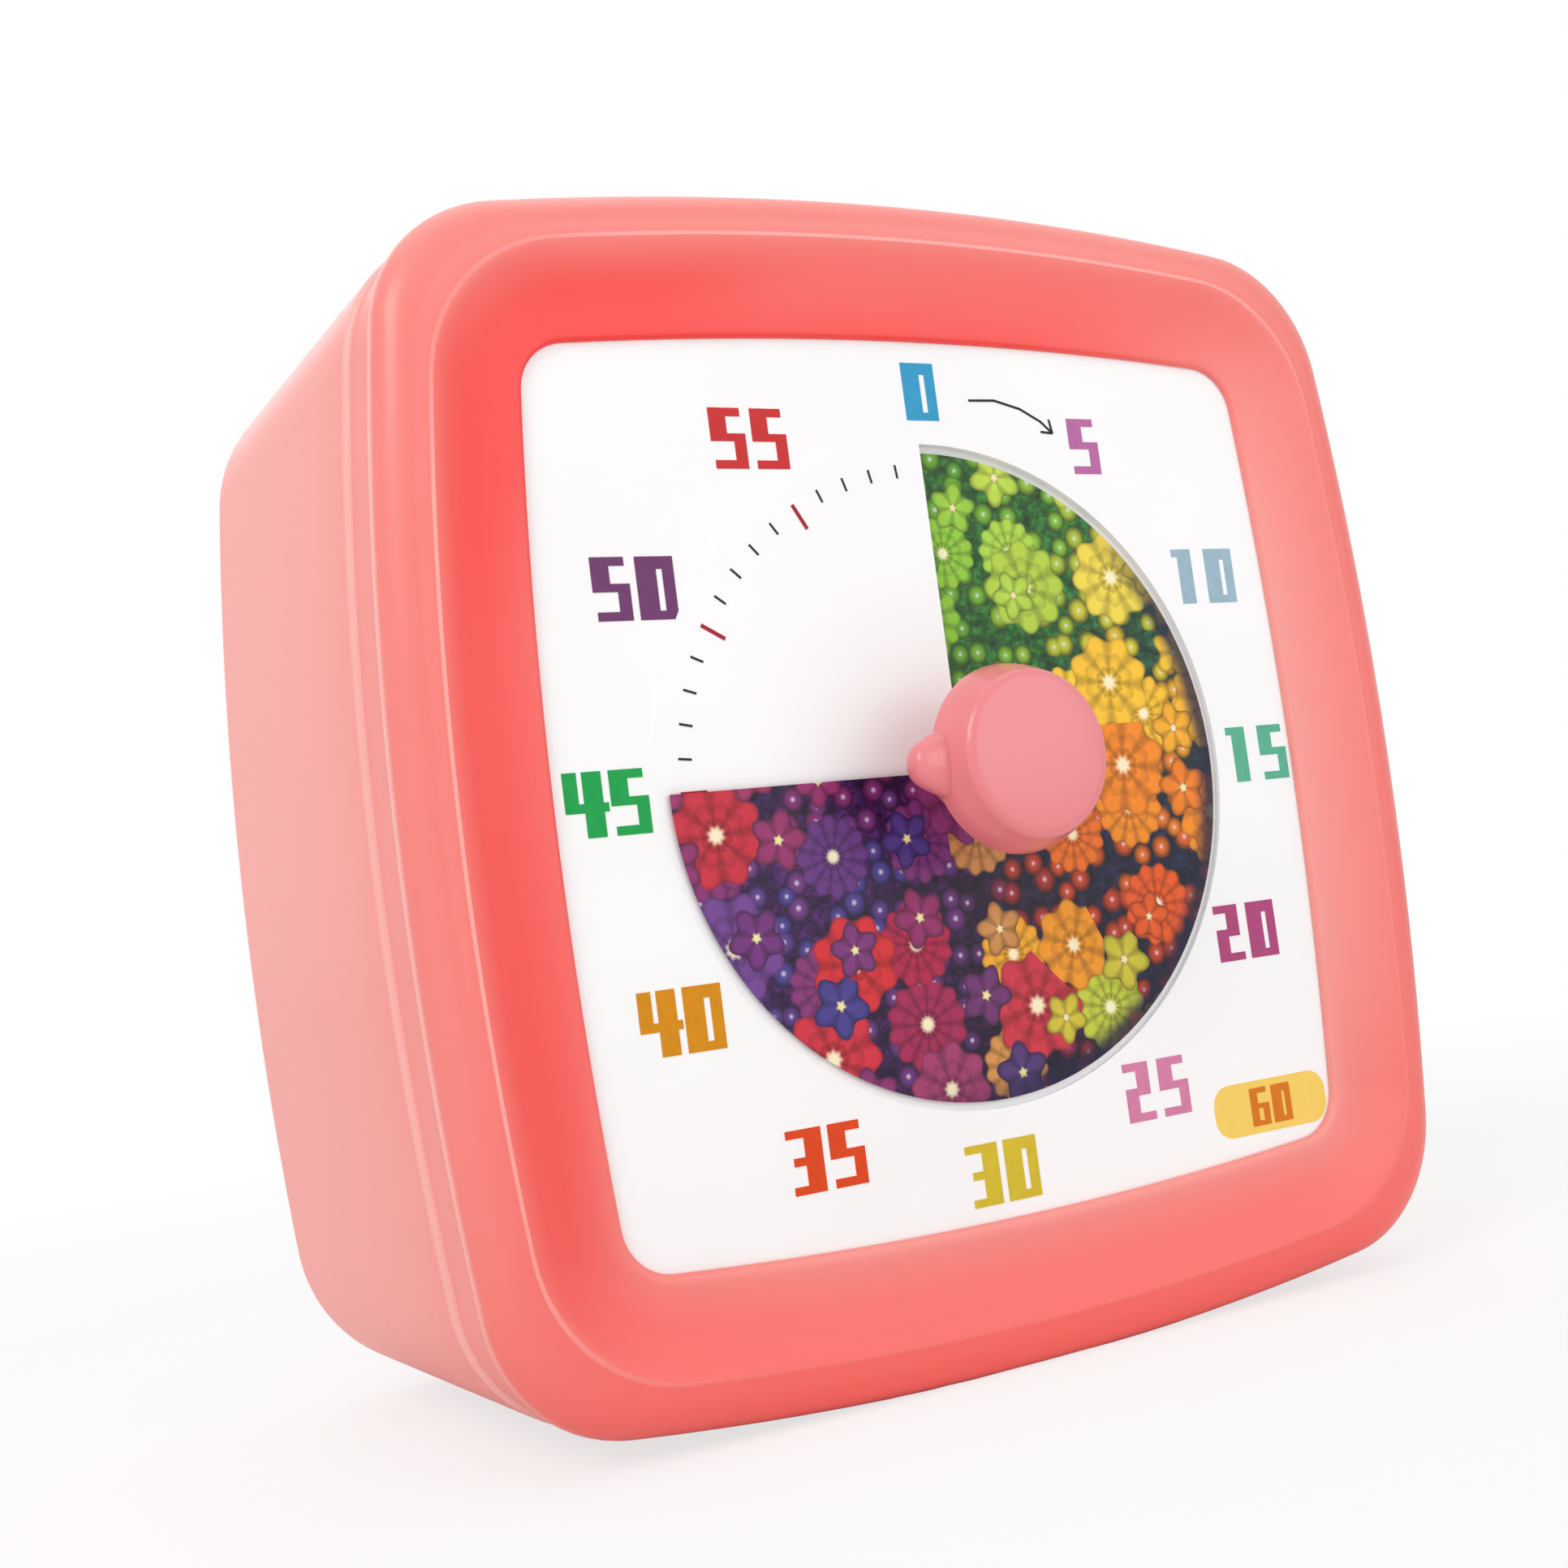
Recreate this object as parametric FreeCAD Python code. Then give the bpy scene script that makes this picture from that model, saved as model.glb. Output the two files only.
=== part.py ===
import FreeCAD, Part
import math
import os
from FreeCAD import Vector as V

# Square desk countdown timer: a coloured disc shows the minutes left and winds
# away behind the dial, through a slit at 12 o'clock, as they run out.
# Millimetres, X to the right, Z up, the dial faces -Y. Depths are counted from
# the dial's face towards the back, x and z from the dial's centre.

os.makedirs("parts", exist_ok=True)

# Case outline: a square with bulged sides, a little smaller at the back
FRONT_HALF = 42.5
SIDE_TAPER = 0.3
REAR_HALF = FRONT_HALF-SIDE_TAPER
FRONT_BULGE_R = 254.0
REAR_BULGE_R = 322.0
FRONT_CORNER_R = 10.3
REAR_CORNER_R = 12.2
FOOT_FLAT = 0.33

# Depths of the case's lines: crest, seam, end of the shallow band, back
CREST_DEPTH = -1.8
BEZEL_DEPTH = 0.9
BAND_DEPTH = 5.6
CASE_DEPTH = 42.3

# Case walls and edges
CASE_WALL = 2.0
BAND_RECESS = 0.35
CASE_REAR_ROUND = 2.2
CASE_EDGE_ROUND = 0.5
INNER_REAR = CASE_DEPTH-CASE_WALL
INNER_INSET = BAND_RECESS+CASE_WALL

# Clearances: pieces that seat, pieces that run, and pieces that only stay clear
SEAT_GAP = 0.1
RUN_FIT = 0.05
FREE_GAP = 0.3

# How far a moulded-on form sinks into its wall, and how far a cut runs past one
LAP = 0.5
PAST = 1.0

# Bezel: outer roll to the crest, hollow slope to the opening, skirt inside the case
CREST_IN = 3.6
CREST_HALF = FRONT_HALF-CREST_IN
CREST_BULGE_R = 254.0
CREST_CORNER_R = 11.0
BEZEL_ROLL = 2.6
BEZEL_WIDE = 10.5
OPENING_HALF = FRONT_HALF-BEZEL_WIDE
OPENING_BULGE_R = 325.0
OPENING_CORNER_R = 3.7
LIP_DEPTH = -0.45
LIP_ROUND = 0.3
SLOPE_HOLLOW = 1.7
SLOPE_STEPS = 4
SKIRT_WALL = 1.5
SKIRT_DEPTH = 4.6
SKIRT_INSET = INNER_INSET+SEAT_GAP

# Printed disc, and the turns of the dial that it slides between
DISC_R = 23.7
DISC_THICK = 0.16
DISC_CLEAR = 0.22
REST_MINUTES = 45.0

# Dial: a square plate with a round centre that climbs one rise in a turn
DIAL_THICK = 1.2
WELL_GAP = 0.6
WELL_R = DISC_R+WELL_GAP
WELL_LAP = 0.3
RAMP_THICK = 0.4
RAMP_RISE = RAMP_THICK+DISC_THICK+2*DISC_CLEAR
RAMP_START = 0.75

# Disc hub
HUB_R = 3.0
HUB_FRONT = -0.9
HUB_BACK = 1.6
DIAL_HOLE_R = HUB_R+FREE_GAP

# Knob: stem, flare to the widest edge, face with a shallow dome
KNOB_R = 6.7
KNOB_WIDE_DEPTH = -6.4
KNOB_FACE_R = 5.5
KNOB_FRONT = -10.0
KNOB_DOME = 0.25
KNOB_FACE_ROUND = 0.7
KNOB_STEM_R = 2.9
KNOB_STEM = 0.5
KNOB_FOOT = -1.9
FLARE_STEPS = 8
FLARE_CURVE = 1.6

# Pointer on the knob's rim, a wedge that narrows and thins to its tip
POINTER_ROOT = 3.7
POINTER_REACH = 8.9
POINTER_ROOT_W = 4.4
POINTER_TIP_W = 1.9
POINTER_FRONT = -9.0
POINTER_BACK = -5.0
POINTER_DROP = 0.9
POINTER_ROUND = 0.45

# Shaft: flat-sided from the knob through the hub, round in the bush and the wheel
SHAFT_R = 1.6
SHAFT_FLAT = 1.2
SHAFT_TOP = -6.9
FLAT_MORE = 0.2
FLAT_END = HUB_BACK+RAMP_RISE+FLAT_MORE
SHOULDER_R = 2.5
SHOULDER_THICK = 0.7
JOURNAL_R = 0.9

# Wheels of the train; shares of the module in height and of the pitch in width
WHEEL_MODULE = 0.4
ARBOR_TEETH = 48
PINION_TEETH = 12
FINE_MODULE = 0.25
MIDDLE_TEETH = 60
ROTOR_TEETH = 10
TIP_SHARE = 0.8
ROOT_SHARE = 1.1
TIP_HALF = 0.11
ROOT_HALF = 0.33
WHEEL_THICK = 1.0
PIN_R = 0.6
WHEEL_GAP = 0.6
SPOKE_HOLES = 4
SPOKE_HOLE_R = 1.8
CLUTCH_R = 4.0
CLUTCH_THICK = 0.25
CLUTCH_RISE = 0.35
CLUTCH_ROOM = 1.0
ROTOR_R = 3.0
ROTOR_LONG = 2.4

# Stator and coil
STATOR_THICK = 1.2
STATOR_GAP = 0.5
STATOR_RING = 2.0
YOKE_ARM = 4.5
YOKE_REACH = 7.5
YOKE_CORE = 1.8
YOKE_FOOT = 5.2
YOKE_FOOT_GAP = 1.0
YOKE_POST_R = 1.6
COIL_R = 2.6
COIL_CHEEK = 0.5
CHEEK_THICK = 0.8
COIL_X0 = -12.0
COIL_X1 = 4.0
COIL_UP = 6.0

# Movement housing, in two halves, hung by four ears on the dial's posts
EAR_POST = 4.8
MOVE_WALL = 1.2
MOVE_CORNER_R = 3.0
MOVE_FRONT_DEEP = 6.0
TRAIN_GAP = 1.1
BUSH_R = 3.4
PIN_SHORT = 0.5
PIN_HOLE_SHORT = 0.4
EAR_OUT = 5.0
EAR_IN = 4.2
EAR_R = 2.6
EAR_THICK = 1.5
MOVE_SCREW_R = 0.95
MOVE_SCREW_HEAD_R = 1.9
MOVE_SCREW_HEAD = 1.3
MOVE_SCREW_LONG = 5.1

# Corner posts and the screws that hold the case to the bezel
POST_IN = 9.3
POST_XZ = FRONT_HALF-POST_IN
POST_R = 4.0
BEZEL_POST_R = 2.6
POST_MEET = 10.0
SCREW_SEAT = 12.0
SCREW_R = 1.4
SCREW_LONG = 9.0
SCREW_HEAD_R = 2.6
SCREW_HEAD = 2.0

# Battery bay at the foot of the case, for one AA cell
CELL_R = 7.1
CELL_BODY = 49.2
CELL_NUB_R = 2.7
CELL_NUB = 1.3
CELL_ROUND = 0.5
CELL_BEHIND = 2.2
BAY_SIDE = 2.1
BAY_END = 2.75
BAY_LIFT = 9.3
BAY_WALL = 1.2

# Contacts of the cell
CONTACT_THICK = 0.4
CONTACT_HALF = 6.5
CONTACT_ROOM = 3.0
CONTACT_TAB = 2.3
BUMP_R = 2.2
BUMP_TOP_R = 1.6
TONGUE_HALF = 2.4
TONGUE_LOW = 5.5
TONGUE_TOP = 1.6
TONGUE_NOSE = 0.6

# Battery door: two tabs at its lower edge, a finger latch at the top
TAB_IN = 11.0
TAB_W = 6.0
TAB_THICK = 1.1
TAB_REACH = 1.6
TAB_ROOM = 3.6
TAB_ROOT = 2.0
TAB_DROP = 0.2
LATCH_HALF = 4.0
LATCH_DEEP = 1.6
LATCH_LOW = 2.4
LATCH_HIGH = 0.5
LATCH_SLIT_X = 5.2
LATCH_SLIT_W = 0.8
LATCH_SLIT = 7.0
GRIP_RIBS = 4
GRIP_HALF = 3.6
GRIP_PITCH = 1.3
GRIP_W = 0.6
GRIP_DEEP = 0.4

# Circuit board on posts of the case, with its chip and crystal
BOARD_GAP = 1.4
BOARD_THICK = 1.2
BOARD_SIDE = 3.2
BOARD_UP = 0.6
BOARD_HIGH = 29.0
BOARD_POST_R = 2.2
BOARD_PEG_R = 1.1
BOARD_POST_IN = 4.0
BOARD_PEG = 0.6
CHIP_X = -6.0
CHIP_Z = 8.0
CHIP_R = 4.0
CHIP_HIGH = 1.3
CHIP_ROUND = 1.1
CRYSTAL_X = 6.0
CRYSTAL_R = 1.0
CRYSTAL_LONG = 6.0
CRYSTAL_ROUND = 0.25

# Sounder behind the holes in the rear wall
SOUND_Z = 19.0
SOUND_R = 10.5
SOUND_RIM = 1.6
SOUND_CHAMBER = 3.0
SOUND_THICK = 0.5
CERAMIC_R = 6.9
CERAMIC_THICK = 0.25
SOUND_HOLE_R = 0.8
SOUND_HOLE_PITCH = 3.6
SOUND_HOLES_ROUND = 6

# Volume switch in a pocket of the rear wall
SWITCH_X = 24.0
SWITCH_Z = 19.0
SWITCH_TRAVEL = 4.0
SWITCH_HALF = 3.2
SWITCH_DEEP = 5.0
SWITCH_END = 1.6
SLOT_W = 2.0
SLOT_DEEP = 3.0
STEM_LONG = 3.0
STEM_GAP = 0.2
CAP_LONG = 4.2
CAP_TALL = 4.2
CAP_PROUD = 0.9
CAP_RIBS = 3
CAP_RIB_PITCH = 1.2
CAP_RIB_W = 0.5
CAP_RIB_DEEP = 0.3
POCKET_DEEP = 1.2
POCKET_END = 1.4
POCKET_SIDE = 0.7

# Places that follow: the timer is centred on the origin and stands on its flat
FACE_Y = -(CASE_DEPTH+KNOB_FRONT)/2.0
DIAL_Z = FRONT_HALF-FOOT_FLAT
FRONT = V(0, 1, 0)
ACROSS = V(1, 0, 0)

# Places that follow: wheels, rotor and coil, level by level behind the dial
MOVE_FRONT = DIAL_THICK+EAR_POST
MOVE_INNER = MOVE_FRONT+MOVE_WALL
WHEEL_LEVEL = MOVE_INNER+SEAT_GAP+SHOULDER_THICK
WHEEL_BACK = WHEEL_LEVEL+WHEEL_THICK
SHAFT_STEP = WHEEL_BACK+CLUTCH_ROOM
MIDDLE_X = WHEEL_MODULE*(ARBOR_TEETH+PINION_TEETH)/2.0
MIDDLE_LEVEL = SHAFT_STEP+WHEEL_GAP
ROTOR_Z = FINE_MODULE*(MIDDLE_TEETH+ROTOR_TEETH)/2.0
ROTOR_FRONT = MIDDLE_LEVEL+WHEEL_THICK+WHEEL_GAP
ROTOR_BACK = ROTOR_FRONT+ROTOR_LONG
STATOR_LEVEL = ROTOR_FRONT+(ROTOR_LONG-STATOR_THICK)/2
STATOR_BACK = STATOR_LEVEL+STATOR_THICK
COIL_Z = ROTOR_Z+COIL_UP
COIL_DEPTH = STATOR_LEVEL+STATOR_THICK/2

# Places that follow: the housing closes round the train
ARBOR_TIP_R = WHEEL_MODULE*(ARBOR_TEETH/2.0+TIP_SHARE)
MIDDLE_TIP_R = FINE_MODULE*(MIDDLE_TEETH/2.0+TIP_SHARE)
MOVE_HALF_X = MIDDLE_X+MIDDLE_TIP_R+TRAIN_GAP+MOVE_WALL
MOVE_LOW = -(ARBOR_TIP_R+TRAIN_GAP+MOVE_WALL)
MOVE_HIGH = COIL_Z+COIL_R+COIL_CHEEK+TRAIN_GAP+MOVE_WALL
MOVE_SPLIT = MOVE_FRONT+MOVE_FRONT_DEEP
MOVE_BACK = COIL_DEPTH+COIL_R+COIL_CHEEK+TRAIN_GAP+MOVE_WALL
BUSH_FRONT = FLAT_END+2*FREE_GAP
EAR_X = MOVE_HALF_X+EAR_OUT
EARS = [(sx*EAR_X, z) for sx in (-1, 1) for z in (MOVE_LOW+EAR_IN, MOVE_HIGH-EAR_IN)]
POSTS = [(sx*POST_XZ, sz*POST_XZ) for sx in (-1, 1) for sz in (-1, 1)]
YOKE_FOOT_X = COIL_X0-YOKE_FOOT_GAP-YOKE_FOOT
YOKE_POSTS = ((YOKE_FOOT_X+YOKE_FOOT/2, COIL_Z), (MIDDLE_X+YOKE_REACH-YOKE_POST_R-FREE_GAP, COIL_Z))

# Places that follow: bay, door, board and switch, from the case's foot and back
CELL_DEPTH = INNER_REAR-CELL_BEHIND-CELL_R
BAY_FLOOR = CELL_DEPTH-CELL_R-FREE_GAP
BAY_HALF_X = (CELL_BODY+CELL_NUB)/2+BAY_END
BAY_LOW = BAY_LIFT-FRONT_HALF
BAY_HIGH = BAY_LOW+2*(CELL_R+BAY_SIDE)
CELL_Z = (BAY_LOW+BAY_HIGH)/2
CELL_END = (CELL_BODY+CELL_NUB)/2
DOOR_TABS = (TAB_IN-BAY_HALF_X, BAY_HALF_X-TAB_IN)
BOARD_DEPTH = MOVE_BACK+BOARD_GAP
BOARD_BACK = BOARD_DEPTH+BOARD_THICK
BOARD_LOW = BAY_HIGH+BAY_WALL+BOARD_UP
BOARD_HALF_X = POST_XZ-POST_R-BOARD_SIDE
BOARD_POSTS = [(sx*(BOARD_HALF_X-BOARD_POST_IN), z) for sx in (-1, 1)
               for z in (BOARD_LOW+BOARD_POST_IN, BOARD_HIGH-BOARD_POST_IN)]
SLOT_X0 = SWITCH_X-(STEM_LONG+SWITCH_TRAVEL)/2-FREE_GAP
SLOT_X1 = SWITCH_X+(STEM_LONG+SWITCH_TRAVEL)/2+FREE_GAP
POCKET_FLOOR = CASE_DEPTH-POCKET_DEEP


def y_at(depth):
    """Model Y of a depth behind the dial's face."""
    return FACE_Y+depth


def rounded_square(half, bulge_r, corner_r, depth):
    """Wire of a square with bulged sides and round corners, standing square to Y."""
    b = 2.0*(bulge_r-half)
    c = (bulge_r-half)**2-(bulge_r-corner_r)**2
    k = (-b+math.sqrt(b*b-8.0*c))/4.0
    turn = math.atan2(k, k-half+bulge_r)
    edges = []
    for quarter in range(4):
        base = quarter*math.pi/2
        arcs = ((half-bulge_r, 0.0, bulge_r, -turn, turn), (k, k, corner_r, turn, math.pi/2-turn))
        for cx, cz, r, a0, a1 in arcs:
            pts = []
            for a in (a0, (a0+a1)/2, a1):
                x = cx+r*math.cos(a)
                z = cz+r*math.sin(a)
                xr = x*math.cos(base)-z*math.sin(base)
                zr = x*math.sin(base)+z*math.cos(base)
                pts.append(V(xr, y_at(depth), DIAL_Z+zr))
            edges.append(Part.Arc(*pts).toShape())
    return Part.Wire(edges)


def loft(sections):
    """Solid through outlines given as (half, bulge radius, corner radius, depth)."""
    return Part.makeLoft([rounded_square(*s) for s in sections], True, True)


def case_outline(depth, inset):
    """The case's own outline at a depth, moved in by inset."""
    share = (depth-BEZEL_DEPTH)/(CASE_DEPTH-BEZEL_DEPTH)
    half = FRONT_HALF+(REAR_HALF-FRONT_HALF)*share
    bulge = FRONT_BULGE_R+(REAR_BULGE_R-FRONT_BULGE_R)*share
    corner = FRONT_CORNER_R+(REAR_CORNER_R-FRONT_CORNER_R)*share
    return (half-inset, bulge-inset, corner-inset, depth)


def case_loft(d0, d1, inset):
    """Solid with the case's outline between two depths, moved in by inset."""
    return loft([case_outline(d0, inset), case_outline(d1, inset)])


def rod(x, z, r, d0, d1):
    """Round bar along the depth between two depths, x and z from the dial's centre."""
    return Part.makeCylinder(r, d1-d0, V(x, y_at(d0), DIAL_Z+z), FRONT)


def cross_rod(x0, x1, z, depth, r):
    """Round bar along X between two x."""
    return Part.makeCylinder(r, x1-x0, V(x0, y_at(depth), DIAL_Z+z), ACROSS)


def block(x0, x1, z0, z1, d0, d1):
    """Box between two x, two z (from the dial's centre) and two depths."""
    return Part.makeBox(x1-x0, d1-d0, z1-z0, V(x0, y_at(d0), DIAL_Z+z0))


def edges_along_depth(shape, length):
    """Straight edges that run along the depth for most of a length."""
    return [e for e in shape.Edges if abs(e.Vertexes[0].Y-e.Vertexes[-1].Y) > 0.9*length]


def edges_at(shape, depth):
    """Edges that lie at one depth."""
    flat = [e for e in shape.Edges if e.BoundBox.YLength < 0.01]
    return [e for e in flat if abs(e.BoundBox.YMin-y_at(depth)) < 0.01]


def round_edges(shape):
    """Edges that are circles."""
    return [e for e in shape.Edges if e.Curve.TypeId == "Part::GeomCircle"]


def beside_axis(r, depth):
    """Point at a radius to the right of the knob's axis."""
    return V(r, y_at(depth), DIAL_Z)


def spun(outline):
    """Solid turned about the knob's axis from a closed wire to the right of it."""
    return Part.Face(outline).revolve(V(0, 0, DIAL_Z), FRONT, 360)


def sunray(r0, r1, thick, start):
    """Ring cut at 12 o'clock that climbs towards the viewer, clockwise, by one rise a turn.
    Its middle stands at the start depth on the low side of the cut."""
    path = Part.Wire(Part.makeHelix(RAMP_RISE, RAMP_RISE, (r0+r1)/2).Edges)
    pts = [V(r0, 0, -thick/2), V(r1, 0, -thick/2), V(r1, 0, thick/2), V(r0, 0, thick/2)]
    ring = path.makePipeShell([Part.makePolygon(pts+[pts[0]])], True, True)
    ring = ring.mirror(V(0, 0, 0), V(0, 1, 0))
    turned = FreeCAD.Rotation(V(0, 0, 1), V(-1, 0, 0), V(0, -1, 0))
    ring.Placement = FreeCAD.Placement(V(0, y_at(start), DIAL_Z), turned)
    return ring


def turned_by(shape, degrees):
    """Copy turned about the knob's axis, clockwise as the viewer sees it."""
    out = shape.copy()
    out.rotate(V(0, 0, DIAL_Z), FRONT, degrees)
    return out


def gear(x, z, module, teeth, d0, d1, phase):
    """Spur wheel with straight-flanked teeth cut a little thin, so that it runs free."""
    pitch_r = module*teeth/2.0
    tip = pitch_r+TIP_SHARE*module
    root = pitch_r-ROOT_SHARE*module
    step = 2*math.pi/teeth
    pts = []
    for i in range(teeth):
        a = i*step+phase
        for r, share in ((root, -ROOT_HALF), (tip, -TIP_HALF), (tip, TIP_HALF), (root, ROOT_HALF)):
            turn = a+share*step
            pts.append(V(x+r*math.cos(turn), y_at(d0), DIAL_Z+z+r*math.sin(turn)))
    return Part.Face(Part.makePolygon(pts+[pts[0]])).extrude(V(0, d1-d0, 0))


def floor_cut(shape):
    """Trim to the flat that the timer stands on."""
    span = 4*FRONT_HALF
    return shape.cut(Part.makeBox(span, span, span, V(-span/2, -span/2, -span)))


def bezel_block():
    """Front frame before it is hollowed: the case's outline, rolled over at the crest."""
    outline = rounded_square(FRONT_HALF, FRONT_BULGE_R, FRONT_CORNER_R, CREST_DEPTH)
    body = Part.Face(outline).extrude(V(0, BEZEL_DEPTH-CREST_DEPTH, 0))
    return body.makeFillet(BEZEL_ROLL, edges_at(body, CREST_DEPTH))


def bezel_slope():
    """Space in front of the slope, which falls hollow from the crest to the lip."""
    sections = []
    lip = (OPENING_HALF+LIP_ROUND, OPENING_BULGE_R, OPENING_CORNER_R+LIP_ROUND)
    crest = (CREST_HALF, CREST_BULGE_R, CREST_CORNER_R)
    for i in range(-1, SLOPE_STEPS+1):
        share = i/SLOPE_STEPS
        outline = tuple(c+(w-c)*share for c, w in zip(crest, lip))
        sections.append(outline+(LIP_DEPTH-(LIP_DEPTH-CREST_DEPTH)*(1-share)**SLOPE_HOLLOW,))
    return loft(sections)


def front_bezel():
    """Convex front frame with a skirt that seats in the case and four screw posts."""
    body = bezel_block().cut(bezel_slope())
    body = body.fuse(case_loft(0.0, SKIRT_DEPTH, SKIRT_INSET))
    body = body.cut(case_loft(0.0, SKIRT_DEPTH+PAST, SKIRT_INSET+SKIRT_WALL))
    opening = (OPENING_HALF, OPENING_BULGE_R, OPENING_CORNER_R)
    body = body.cut(loft([opening+(CREST_DEPTH-PAST,), opening+(BEZEL_DEPTH+PAST,)]))
    for x, z in POSTS:
        body = body.fuse(rod(x, z, BEZEL_POST_R, 0.0, POST_MEET))
    for x, z in POSTS:
        body = body.cut(rod(x, z, SCREW_R+RUN_FIT, SCREW_SEAT-SCREW_LONG-LAP, POST_MEET+PAST))
    return floor_cut(body.removeSplitter())


def case_shell():
    """Deep case: outer walls, the shallow band behind the bezel and the rear wall."""
    deep = case_loft(BAND_DEPTH, CASE_DEPTH, 0.0)
    deep = deep.makeFillet(CASE_REAR_ROUND, edges_at(deep, CASE_DEPTH))
    deep = deep.makeFillet(CASE_EDGE_ROUND, edges_at(deep, BAND_DEPTH))
    neck = case_loft(BEZEL_DEPTH, BAND_DEPTH+CASE_WALL, BAND_RECESS)
    return deep.fuse(neck).cut(case_loft(BEZEL_DEPTH-PAST, INNER_REAR, INNER_INSET))


def bay_box(grow, d0, d1):
    """Block over the battery bay, grown all round."""
    return block(-BAY_HALF_X-grow, BAY_HALF_X+grow, BAY_LOW-grow, BAY_HIGH+grow, d0, d1)


def with_battery_bay(body):
    """Case with the walls of the bay, slots for the door's tabs and for the contacts."""
    body = body.fuse(bay_box(BAY_WALL, BAY_FLOOR-BAY_WALL, INNER_REAR+LAP))
    body = body.cut(bay_box(0.0, BAY_FLOOR, CASE_DEPTH+PAST))
    reach = TAB_W/2+FREE_GAP
    for x in DOOR_TABS:
        body = body.cut(block(x-reach, x+reach, BAY_LOW-BAY_WALL-SEAT_GAP, BAY_LOW+SEAT_GAP,
                              INNER_REAR-TAB_ROOM, INNER_REAR))
    for x in (-BAY_HALF_X, BAY_HALF_X):
        body = body.cut(block(x-BAY_WALL-SEAT_GAP, x+BAY_WALL+SEAT_GAP, BAY_HIGH-SEAT_GAP,
                              BAY_HIGH+BAY_WALL+SEAT_GAP, BAY_FLOOR-BAY_WALL-SEAT_GAP, BAY_FLOOR+CONTACT_ROOM))
    return body


def with_screw_posts(body):
    """Case with its corner posts' holes and deep seats for the screw heads."""
    for x, z in POSTS:
        body = body.cut(rod(x, z, SCREW_HEAD_R+SEAT_GAP, SCREW_SEAT, CASE_DEPTH+PAST))
        body = body.cut(rod(x, z, SCREW_R+RUN_FIT, POST_MEET-PAST, SCREW_SEAT+PAST))
    return body


def with_sound_holes(body):
    """Case with the rim that carries the sounder and the holes in front of it."""
    front = INNER_REAR-SOUND_CHAMBER
    rim = rod(0, SOUND_Z, SOUND_R, front, INNER_REAR+LAP)
    body = body.fuse(rim.cut(rod(0, SOUND_Z, SOUND_R-SOUND_RIM, front-PAST, INNER_REAR)))
    for x, z in sound_holes():
        body = body.cut(rod(x, SOUND_Z+z, SOUND_HOLE_R, INNER_REAR-PAST, CASE_DEPTH+PAST))
    return body


def with_switch_pocket(body):
    """Case with the pocket that the switch's cap slides in and the slot for its stem."""
    body = body.cut(block(SLOT_X0, SLOT_X1, SWITCH_Z-SLOT_W/2, SWITCH_Z+SLOT_W/2,
                          INNER_REAR-PAST, CASE_DEPTH+PAST))
    tall = CAP_TALL/2+POCKET_SIDE
    return body.cut(block(SLOT_X0-POCKET_END, SLOT_X1+POCKET_END, SWITCH_Z-tall, SWITCH_Z+tall,
                          POCKET_FLOOR, CASE_DEPTH+PAST))


def with_board_posts(body):
    """Case with four posts, each with a peg through the board."""
    for x, z in BOARD_POSTS:
        body = body.fuse(rod(x, z, BOARD_POST_R, BOARD_BACK, INNER_REAR+LAP))
        body = body.fuse(rod(x, z, BOARD_PEG_R, BOARD_DEPTH-BOARD_PEG, BOARD_BACK+LAP))
    return body


def case_body():
    """Case with everything that is moulded on it."""
    body = case_shell()
    for x, z in POSTS:
        body = body.fuse(rod(x, z, POST_R, POST_MEET, INNER_REAR+LAP))
    body = with_battery_bay(body)
    body = with_screw_posts(body)
    body = with_sound_holes(body)
    body = with_switch_pocket(body)
    body = with_board_posts(body)
    return floor_cut(body.removeSplitter())


def sound_holes():
    """One hole in the middle and six round it."""
    places = [(0.0, 0.0)]
    for i in range(SOUND_HOLES_ROUND):
        a = 2*math.pi*(i+0.5)/SOUND_HOLES_ROUND
        places.append((SOUND_HOLE_PITCH*math.cos(a), SOUND_HOLE_PITCH*math.sin(a)))
    return places


def dial_plate():
    """Square dial: flat outside, with a slit centre that climbs one rise in a turn."""
    plate = case_loft(0.0, DIAL_THICK, SKIRT_INSET+SKIRT_WALL+FREE_GAP)
    plate = plate.cut(rod(0, 0, WELL_R, -PAST, DIAL_THICK+PAST))
    plate = plate.fuse(sunray(DIAL_HOLE_R, WELL_R+WELL_LAP, RAMP_THICK, RAMP_START+RAMP_THICK/2))
    for x, z in POSTS:
        plate = plate.cut(rod(x, z, BEZEL_POST_R+FREE_GAP, -PAST, DIAL_THICK+PAST))
    tip = MOVE_FRONT+EAR_THICK-MOVE_SCREW_LONG
    for x, z in EARS:
        plate = plate.fuse(rod(x, z, EAR_R, DIAL_THICK-LAP, MOVE_FRONT))
        plate = plate.cut(rod(x, z, MOVE_SCREW_R+RUN_FIT, tip-FREE_GAP, MOVE_FRONT+PAST))
    return plate


def printed_disc():
    """Thin coloured disc, cut along its leading edge, wound halfway between the dial's turns."""
    start = RAMP_START-DISC_CLEAR-DISC_THICK/2
    ring = sunray(HUB_R, DISC_R, DISC_THICK, start+RAMP_RISE*(1-REST_MINUTES/60.0))
    return turned_by(ring, REST_MINUTES*6.0)


def shaft_bar(r, flat, d0, d1):
    """Round bar with a flat along its left side."""
    return rod(0, 0, r, d0, d1).common(block(-flat, r+PAST, -r-PAST, r+PAST, d0-PAST, d1+PAST))


def disc_hub():
    """Collar that carries the disc, keyed to the shaft's flat so that it can ride along it."""
    bore = shaft_bar(SHAFT_R+RUN_FIT, SHAFT_FLAT+RUN_FIT, HUB_FRONT-PAST, HUB_BACK+PAST)
    return rod(0, 0, HUB_R, HUB_FRONT, HUB_BACK).cut(bore)


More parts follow.
